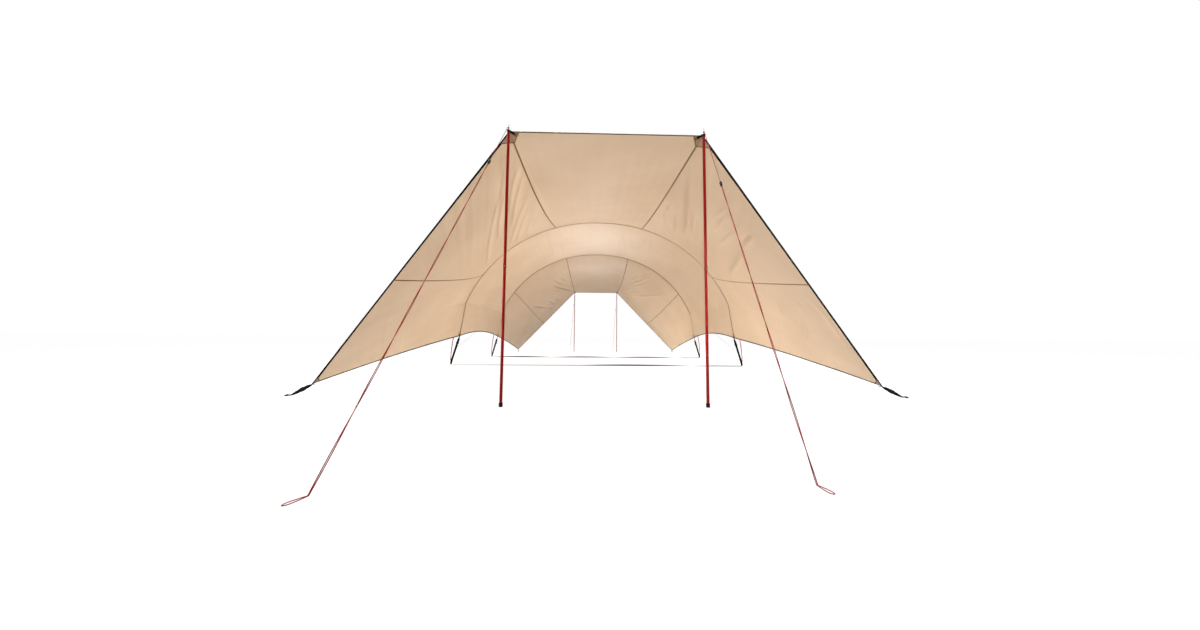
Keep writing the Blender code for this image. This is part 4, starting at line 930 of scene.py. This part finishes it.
for end, end_sign, side, side_sign in CORNERS:
    slope = atan(ROOF_RISE * cos(TAB_HEADING))
    spike = np.array([side_sign * UPRIGHT_X, end_sign * UPRIGHT_Y, TAB_Z])
    level = [-side_sign * sin(TAB_HEADING), -end_sign * cos(TAB_HEADING)]
    run = np.array([*np.multiply(level, cos(slope)), sin(slope)])
    up = np.cross(unit(np.cross(run, [0.0, 0.0, 1.0])), run)

    def tab_part(section, at):
        """A strip on the tab's line, which drops and tips on its way from the spike to the cloth."""
        share = np.clip(at / TAB_LENGTH, 0, 1)[:, None]
        line = spike + at[:, None] * run - TAB_DROP * share * up
        return strip(section, line, up + share * [0.0, -TAB_TIP * end_sign, 0.0])

    at = np.linspace(-TAB_LIP, TAB_LENGTH - TAB_SEWN, 15)
    width = TAB_WIDTH * np.clip(1 - ((-at - TAB_LIP + TAB_ROUNDING) / (2 * TAB_ROUNDING)).clip(0) ** 2, 0.6, 1)
    tab = tab_part(np.multiply(rounded_strip(1.0, 0.15), [[[value, TAB_THICKNESS / 0.15]] for value in width]), at)
    cover_section = rounded_strip(TAB_WIDTH + 0.003, TAB_THICKNESS + 0.0008)
    cover = tab_part(cover_section, np.linspace(TAB_LENGTH - COVER_REACH, TAB_LENGTH + COVER_REACH, 9))
    ring = round_axis(up, [0.0, 1.0, 0.13], np.linspace(0, 2 * pi, 29)[:-1], EYELET_RADIUS)
    wire = circle(EYELET_WIRE, 8) * [1.0, EYELET_SQUASH]
    eyelets = [swept(wire, spike + lift * up + ring, up, ring=True) for lift in (EYELET_LIFT, -EYELET_LIFT)]
    made_of = {tab_webbing: [tab], tab_cover_cotton: [cover], bright_steel: eyelets}
    tab_piece = piece(f"{end}_{side}_eyelet_tab", made_of, crisp=45)
    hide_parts(f"{end}_{side}_top_tab")

# The foot straps. Wide black webbing from the inside of the hem down to the front of each hoop's foot, turned by
# a quarter below the hem, with a ladder buckle near its top that sets how tight the side is pulled.
FOOT_STRAP_WIDTH, FOOT_STRAP_THICKNESS, FOOT_STRAP_CLEARANCE, FOOT_STRAP_HALF = 0.032, 0.0026, 0.0008, 0.0015
FOOT_STRAP_LAP, FOOT_STRAP_DROP, FOOT_STRAP_END_Z, FOOT_STRAP_STEPS = 0.040, 0.010, 0.014, 60
FOOT_STRAP_BUCKLE, FOOT_STRAP_TWIST, FOOT_STRAP_AHEAD = 0.245, 0.20, 0.75  # shares of the way down
TAIL_LENGTH, TAIL_LIFT, TAIL_CURL, TAIL_LEAN, TAIL_THICKNESS = 0.055, 0.0045, 0.010, 0.25, 0.0022
BUCKLE_LENGTH, BUCKLE_RAIL, BUCKLE_MARGIN = 0.030, 0.0055, 0.003
FOOT_BUCKLE_WIDTH, FOOT_BUCKLE_HEIGHT = FOOT_STRAP_WIDTH - 0.004, 0.0115
BUCKLE_BARS = (  # place along the buckle, lift, width, height
    (-0.85, 0.0, 0.005, 0.5), (0.0, 0.18, 0.006, 0.62), (0.85, 0.26, 0.007, 0.45)
)
strap_webbing = webbing(
    "strap_webbing_weave", (0.0045, 0.0040, 0.0035), (0.012, 0.011, 0.010), (0.016, 0.015, 0.014), 0.0092
)


def bar(start, stop, width, thickness, facing):
    """A moulded bar from start to stop with softly squared section, a little thinner at its ends."""
    swell = np.array([0.75, 0.95, 1.0, 1.0, 1.0, 0.95, 0.75])
    return swept(flat_oval(width, thickness, 12) * swell[:, None, None], np.linspace(start, stop, len(swell)), facing)


def ladder_buckle(middle, run, up, width, height):
    """A moulded ladder buckle round a strap: two side rails and three cross bars, the end ones higher."""
    side, reach = (width / 2 + BUCKLE_MARGIN) * np.cross(run, up), BUCKLE_LENGTH / 2 * run
    rails = [middle + turn * side for turn in (-1, 1)]
    bars = [bar(rail - reach, rail + reach, BUCKLE_RAIL, height * 0.72, up) for rail in rails]
    for at, lift, wide, tall in BUCKLE_BARS:
        centre = middle + at * reach + lift * height * up
        bars.append(bar(centre - side, centre + side, wide, tall * height, up))
    return bars


def softened(path):
    """A path with each inner point moved to the mean of itself and its neighbours."""
    return np.concatenate([path[:1], (path[:-2] + path[1:-1] + path[2:]) / 3, path[-1:]])


for end, end_sign, side, side_sign in CORNERS:
    lean = unit(HEM - ELBOW)
    turn_at = HEM + (FOOT_STRAP_CLEARANCE + FOOT_STRAP_HALF) * lean[::-1] * [1, -1] + FOOT_STRAP_DROP * lean
    lap = turn_at - FOOT_STRAP_LAP * lean
    foot = np.array([HOOP_HALF_WIDTH - FOOT_STRAP_WIDTH / 3, FOOT_STRAP_END_Z])
    low = foot + [-0.003, 2 * FOOT_STRAP_END_Z]
    share = np.concatenate([np.zeros(11), np.linspace(0, 1, FOOT_STRAP_STEPS), np.ones(5)])
    lapped, down, end_part = (
        np.linspace(*path) for path in ((lap, turn_at, 12), (turn_at, low, FOOT_STRAP_STEPS), (low, foot, 6))
    )
    flat = softened(np.concatenate([lapped[:-1], down, end_part[1:]]))
    ahead = end_sign * (FERRULE_RADIUS + GAP + FOOT_STRAP_HALF) * fade(share, FOOT_STRAP_AHEAD)
    line = np.insert(flat * [side_sign, 1], 1, end_sign * HOOP_Y + ahead, axis=1)
    turn = fade(share, FOOT_STRAP_TWIST)
    turn = (3 * turn**2 - 2 * turn**3)[:, None] * pi / 2
    facing = np.cos(turn) * [-side_sign, 0.0, 0.1] + np.sin(turn) * [0.0, end_sign, 0.0]
    strap = tape(FOOT_STRAP_WIDTH, FOOT_STRAP_THICKNESS, line, facing)
    middle = line[11 + round((FOOT_STRAP_STEPS - 1) * FOOT_STRAP_BUCKLE)]
    run = unit(np.insert((low - turn_at) * [side_sign, 1], 1, 0.0))
    up = np.array([0.0, float(end_sign), 0.0])
    buckle = ladder_buckle(middle, run, up, FOOT_BUCKLE_WIDTH, FOOT_BUCKLE_HEIGHT)
    at = np.linspace(0.0, TAIL_LENGTH, 12)[:, None]
    curl = (TAIL_LIFT + TAIL_CURL * np.sin(at / TAIL_LENGTH * 2.2) ** 2) * up
    tail = middle + at * run + curl + TAIL_LEAN * at**1.2 * [-side_sign, 0.0, 0.0]
    tail = tape(FOOT_BUCKLE_WIDTH, TAIL_THICKNESS, tail, up)
    made = piece(f"{end}_{side}_hoop_foot_webbing", {strap_webbing: [strap, tail], black_plastic: buckle}, crisp=45)
    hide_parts(f"{end}_hoop_{side}_foot_strap")

# The ground straps. One length of black webbing along the ground from foot to foot of each hoop, which keeps
# the feet from spreading. It leans a little on its edge, and has turned over on itself on its way.
GROUND_STRAP_WIDTH, GROUND_STRAP_THICKNESS, GROUND_STRAP_LEAN = 0.020, 0.0022, (0.12, 0.42)
GROUND_STRAP_TURNS = {"front": (-0.25, 1.75, 1), "rear": (-2.20, 1.90, 3)}  # from x to x, half turns
for end, end_sign in ENDS.items():
    reach = HOOP_HALF_WIDTH - FERRULE_RADIUS - GAP
    x = np.linspace(-reach, reach, 361)
    turn_start, turn_end, half_turns = GROUND_STRAP_TURNS[end]
    turn = np.interp(x, [turn_start, turn_end], [0, half_turns * pi])
    turn += np.interp(x, [-reach, reach], GROUND_STRAP_LEAN)
    lift = GROUND_STRAP_WIDTH / 2 * np.abs(np.sin(turn)) + STRAP_HALF * np.abs(np.cos(turn))
    line = np.stack([x, 0 * x + end_sign * HOOP_Y, lift], axis=-1)
    up = np.stack([0 * x, -np.sin(turn), np.cos(turn)], axis=-1)
    strap = tape(GROUND_STRAP_WIDTH, GROUND_STRAP_THICKNESS, line, up)
    made = piece(f"{end}_ground_webbing", {black_webbing: [strap]}, crisp=45)
    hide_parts(f"{end}_ground_strap")

# The corner straps. Black webbing from under each ground corner of the cloth, tilted towards the end, through a
# ladder buckle, to a sewn loop that lies on the ground for a peg.
STRAP_WIDTH, STRAP_THICKNESS, STRAP_BUCKLE, STRAP_ON_GROUND, STRAP_LAP = 0.025, 0.0022, 0.094, 0.040, 0.030
CORNER_PEG, STRAP_TILT, LOOP_HEIGHT, LOOP_FLOOR = np.array([2.27, 3.52]), radians(48), 0.009, 0.0026
TILTED_BY, LEVEL_FROM = 0.025, 0.045  # along the strap, from its start and before it lands
CORNER_BUCKLE_WIDTH, CORNER_BUCKLE_HEIGHT = STRAP_WIDTH - 0.006, 0.0105
for end, end_sign, side, side_sign in CORNERS:
    start = CORNER * [side_sign, end_sign, 0]
    to_peg = np.array([*(CORNER_PEG * [side_sign, end_sign]), 0.0]) - start
    reach, ahead = np.linalg.norm(to_peg), unit(to_peg)
    landing = reach - STRAP_ON_GROUND
    top = CORNER[2] - GAP - STRAP_HALF
    at = np.concatenate([np.linspace(-STRAP_LAP, 0.0, 5)[:-1], np.linspace(0.0, reach, 48)])
    height = softened(top - np.clip(at, 0.0, landing) * (top - STRAP_HALF) / landing)
    tilt = STRAP_TILT * np.interp(at, [0.0, TILTED_BY, landing - LEVEL_FROM, landing], [0.0, 1.0, 1.0, 0.0])
    height = np.maximum(height, STRAP_WIDTH / 2 * np.sin(tilt) + STRAP_THICKNESS / 2 * np.cos(tilt))
    line = start + np.outer(at, ahead) + np.outer(height, [0, 0, 1])
    across = np.array([-ahead[1], ahead[0], 0.0])
    across *= np.sign(across[0] * -side_sign)
    facing = np.outer(np.cos(tilt), [0.0, 0.0, 1.0]) + np.outer(np.sin(tilt), across)
    strap = tape(STRAP_WIDTH, STRAP_THICKNESS, line, facing)
    back = np.linspace(0.0, 1.0, 17)
    arch = STRAP_HALF + LOOP_FLOOR + (LOOP_HEIGHT - LOOP_FLOOR) * np.sin(pi * back) ** 0.7
    back_at = reach - 0.0012 - STRAP_ON_GROUND * np.array([-0.03, *back])
    folded = start + np.outer(back_at, ahead) + np.outer([STRAP_HALF, *arch], [0, 0, 1])
    loop = tape(STRAP_WIDTH - 0.001, STRAP_THICKNESS, folded, (0.0, 0.0, 1.0))
    slope = unit(line[30] - line[20])
    up = unit(facing[24] - facing[24] @ slope * slope)
    middle = stations(line, [STRAP_BUCKLE])[0]
    buckle = ladder_buckle(middle, slope, up, CORNER_BUCKLE_WIDTH, CORNER_BUCKLE_HEIGHT)
    made = piece(f"{end}_{side}_corner_webbing", {strap_webbing: [strap, loop], black_plastic: buckle}, crisp=45)
    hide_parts(f"{end}_{side}_corner_strap")

# The main guy lines. Braided maroon line tied round each spike, down to a slider, doubled from there to the
# ground, with a loop for the peg.
GUY_RADIUS, STRAND_OFFSET, KNOT_RISE, GUY_BEND, GUY_TURNS = 0.00145, 0.0020, 0.012, 0.020, 3
MAIN_GUYS = {  # x on the ground, distance in front of the upright, share down to the slider, heading of the loop
    "left": (-0.849, 1.106, 0.19, 247), "right": (0.592, 1.053, 0.27, -80)
}
GUY_LOOP, GUY_LOOP_WIDTH, GUY_FALL, KNOT_AHEAD = 0.055, 0.006, -0.4, 0.006
SPIKE_KNOT, SLIDER_KNOT = (0.0026, 0.0015, 3, 0.0028), (0.0030, 0.0014, 2, 0.0028)  # radius, wire, turns, pitch
SLIDER_LENGTH, SLIDER_SIZE, STRAND_IN, STRAND_ASIDE = 0.034, (0.0145, 0.0110), 0.004, 0.0016
SLIDER = np.array([  # distance along the line, share of the slider's size
    (-0.0015, 0.45), (0.0, 0.72), (0.0018, 0.92), (0.004, 1.0), (0.013, 1.0), (0.017, 0.82), (0.021, 1.0),
    (0.030, 1.0), (0.0325, 0.92), (0.0345, 0.72), (0.0358, 0.45),
])

# A braid: two sets of strands that wind round the line in opposite directions, each stitch of its own tone.
braid, braid_in, braid_out = effect("braid", {"Pitch": 280.0}, ["Height", "Fleck"])
scaled = node(braid, "VectorMath", {0: braid_in["Vector"], "Scale": braid_in["Pitch"]}, operation="SCALE").outputs[0]
split = node(braid, "SeparateXYZ", {0: scaled}).outputs[:2]
strands = [maths(braid, "MULTIPLY", maths(braid, way, *split), 2 * pi) for way in ("ADD", "SUBTRACT")]
together = maths(braid, "MULTIPLY", *(maths(braid, "SINE", strand) for strand in strands))
fleck = node(braid, "TexWhiteNoise", {"Vector": maths(braid, "FLOOR", scaled, kind="VectorMath")})
fill(braid, braid_out, {"Height": span(braid, together, -1.0, 1.0), "Fleck": fleck.outputs["Value"]})


def braided(name, colour, light_colour, roughness):
    """Braided line: lighter on the strands that stand out, with single strands a little lighter still."""
    made, tree, shader, uv = finish_of(name)
    strands = made_from(tree, braid, uv)
    share = maths(tree, "MULTIPLY", strands["Fleck"], strands["Height"])
    fill(tree, shader, {
        "Base Color": mix(tree, share, colour, light_colour), "Roughness": roughness, "Specular IOR Level": 0.2,
        "Normal": bump(tree, strands["Height"], 0.7, 0.0004),
    })
    return made


maroon_braid = braided("maroon_braided_line", (0.22, 0.014, 0.011), (0.36, 0.035, 0.028), 0.8)
pale_braid = braided("pale_braided_line", (0.20, 0.165, 0.195), (0.34, 0.30, 0.33), 0.75)


def loop_line(place, heading, length, width, height, gap, count=33):
    """A long loop lying flat: l sin(pi s)^0.8 ahead and -gap cos(pi s) - width sin(2 pi s) aside."""
    share = np.linspace(0, 1, count)
    forward = length * np.sin(pi * share) ** 0.8
    sideways = -gap * np.cos(pi * share) - width * np.sin(2 * pi * share)
    ahead = round_at(heading)
    flat = place + np.outer(forward, ahead) + np.outer(sideways, [-ahead[1], ahead[0]])
    return np.insert(flat, 2, height, axis=1)


def cord_part(path, radius):
    """Round line along a path."""
    return swept(circle(radius, 10), path, (0.13, 0.2, 0.97))


def coil(centre, axis, radius, wire, turns, pitch):
    """A few turns of line round an axis: a helix of this radius, closed up tight."""
    axis = unit(axis)
    turn = np.linspace(0, 2 * pi * turns, 16 * turns + 1)
    path = centre + round_axis(axis, [0.3, 0.2, 0.93], turn, radius)
    return swept(circle(wire, 8), path + np.outer(turn / (2 * pi) - turns / 2, pitch * axis), axis)


for end, end_sign, side, side_sign in CORNERS:
    ground_x, ahead_by, share, loop_heading = MAIN_GUYS[side]
    spike = np.array([side_sign * UPRIGHT_X, end_sign * UPRIGHT_Y, UPRIGHT_HEIGHT + KNOT_RISE])
    peg = np.array([ground_x, end_sign * (UPRIGHT_Y + ahead_by)])
    heading = atan2(peg[1] - spike[1], peg[0] - spike[0])
    turn = heading + pi + np.radians(np.linspace(-200, 160, 37))
    round_spike = SPIKE_RADIUS + GAP + GUY_RADIUS
    tied = spike + round_spike * np.column_stack([np.cos(turn), np.sin(turn), 0.2 * np.sin((turn - turn[0]) / 2)])
    ahead = np.array([cos(heading), sin(heading), GUY_FALL])
    start, end_point = spike + (round_spike + KNOT_RISE) * unit(ahead), np.array([*peg, GUY_RADIUS])
    run, length = unit(end_point - start), np.linalg.norm(end_point - start)
    aside = unit(np.cross(run, [0.0, 0.0, 1.0]))
    slider = start + run * length * share
    slider_end = slider + run * SLIDER_LENGTH
    single = np.linspace(start, slider + STRAND_IN * run, 60)
    single = np.concatenate([[spike + round_spike * ahead * 0.9], single])
    loop = loop_line(peg, -end_sign * radians(loop_heading), GUY_LOOP, GUY_LOOP_WIDTH, GUY_RADIUS, STRAND_OFFSET)
    if (loop[0][:2] - peg) @ aside[:2] < 0:
        loop = loop[::-1]
    wound = np.linspace(0, 2 * pi * GUY_TURNS, 60)[:, None]
    apart = STRAND_OFFSET * (np.cos(wound) * aside + np.sin(wound) * np.cross(run, aside))
    doubled = np.linspace(slider_end + run * GUY_BEND, end_point - run * GUY_BEND, 60)
    out_of, into = (slider_end - STRAND_IN * run + turn * STRAND_ASIDE * aside for turn in (1, -1))
    double = np.concatenate([[out_of], doubled + apart, loop, (doubled - apart)[::-1], [into]])
    body = swept(
        flat_oval(1.0, 1.0, 20) * SLIDER[:, 1, None, None] * SLIDER_SIZE, slider + np.outer(SLIDER[:, 0], run), aside
    )
    lines = [cord_part(path, GUY_RADIUS) for path in (tied, single, double)]
    lines.append(coil(spike + (round_spike + KNOT_AHEAD) * unit(ahead), run, *SPIKE_KNOT))
    lines.append(coil(slider_end + run * KNOT_AHEAD, run, *SLIDER_KNOT))
    made = piece(f"{end}_{side}_guy_line", {maroon_braid: lines, black_plastic: [body]}, crisp=45)
    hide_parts(f"{end}_{side}_guy")

# The hoop guy lines. Thin pale line tied to each hoop at the elbow of the cloth and led out to the ground,
# where it ends in a small knotted loop.
HOOP_GUY_RADIUS, HOOP_GUY_X, SLEEVE_FACE = 0.0017, 3.20, 0.0095 * cos(pi / 8)
HOOP_GUY_LOOP, HOOP_GUY_LOOP_WIDTH, HOOP_GUY_LOOP_GAP, PEG_KNOT_BACK = 0.060, 0.012, 0.003, 0.012
HOOP_KNOT, PEG_KNOT = (0.0077, 0.0013, 3, 0.0027), (0.0024, 0.0012, 3, 0.0024)
for end, end_sign, side, side_sign in CORNERS:
    to_side, y = [side_sign, 1, 1], end_sign * HOOP_Y
    elbow, on_pole, below = hoop_line(ELBOW_ANGLE + np.array([0.0, 0.004, 0.02]), y) * to_side
    start = hoop_line(np.array([ELBOW_ANGLE]), y, SLEEVE_FACE + GAP + HOOP_GUY_RADIUS)[0] * to_side
    peg = np.array([side_sign * HOOP_GUY_X, y])
    end_point = np.array([*peg, HOOP_GUY_RADIUS])
    run = unit(end_point - start)
    heading = 0.0 if side_sign > 0 else pi
    loop = loop_line(peg, heading, HOOP_GUY_LOOP, HOOP_GUY_LOOP_WIDTH, HOOP_GUY_RADIUS, HOOP_GUY_LOOP_GAP)
    line = np.concatenate([np.linspace(start, end_point - run * GUY_BEND, 60), loop])
    tied = coil(on_pole, below - elbow, *HOOP_KNOT)
    knot = coil(end_point - run * PEG_KNOT_BACK, run, *PEG_KNOT)
    made = piece(f"{end}_{side}_hoop_line", {pale_braid: [cord_part(line, HOOP_GUY_RADIUS), tied, knot]}, crisp=45)
    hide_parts(f"{end}_hoop_{side}_guy")
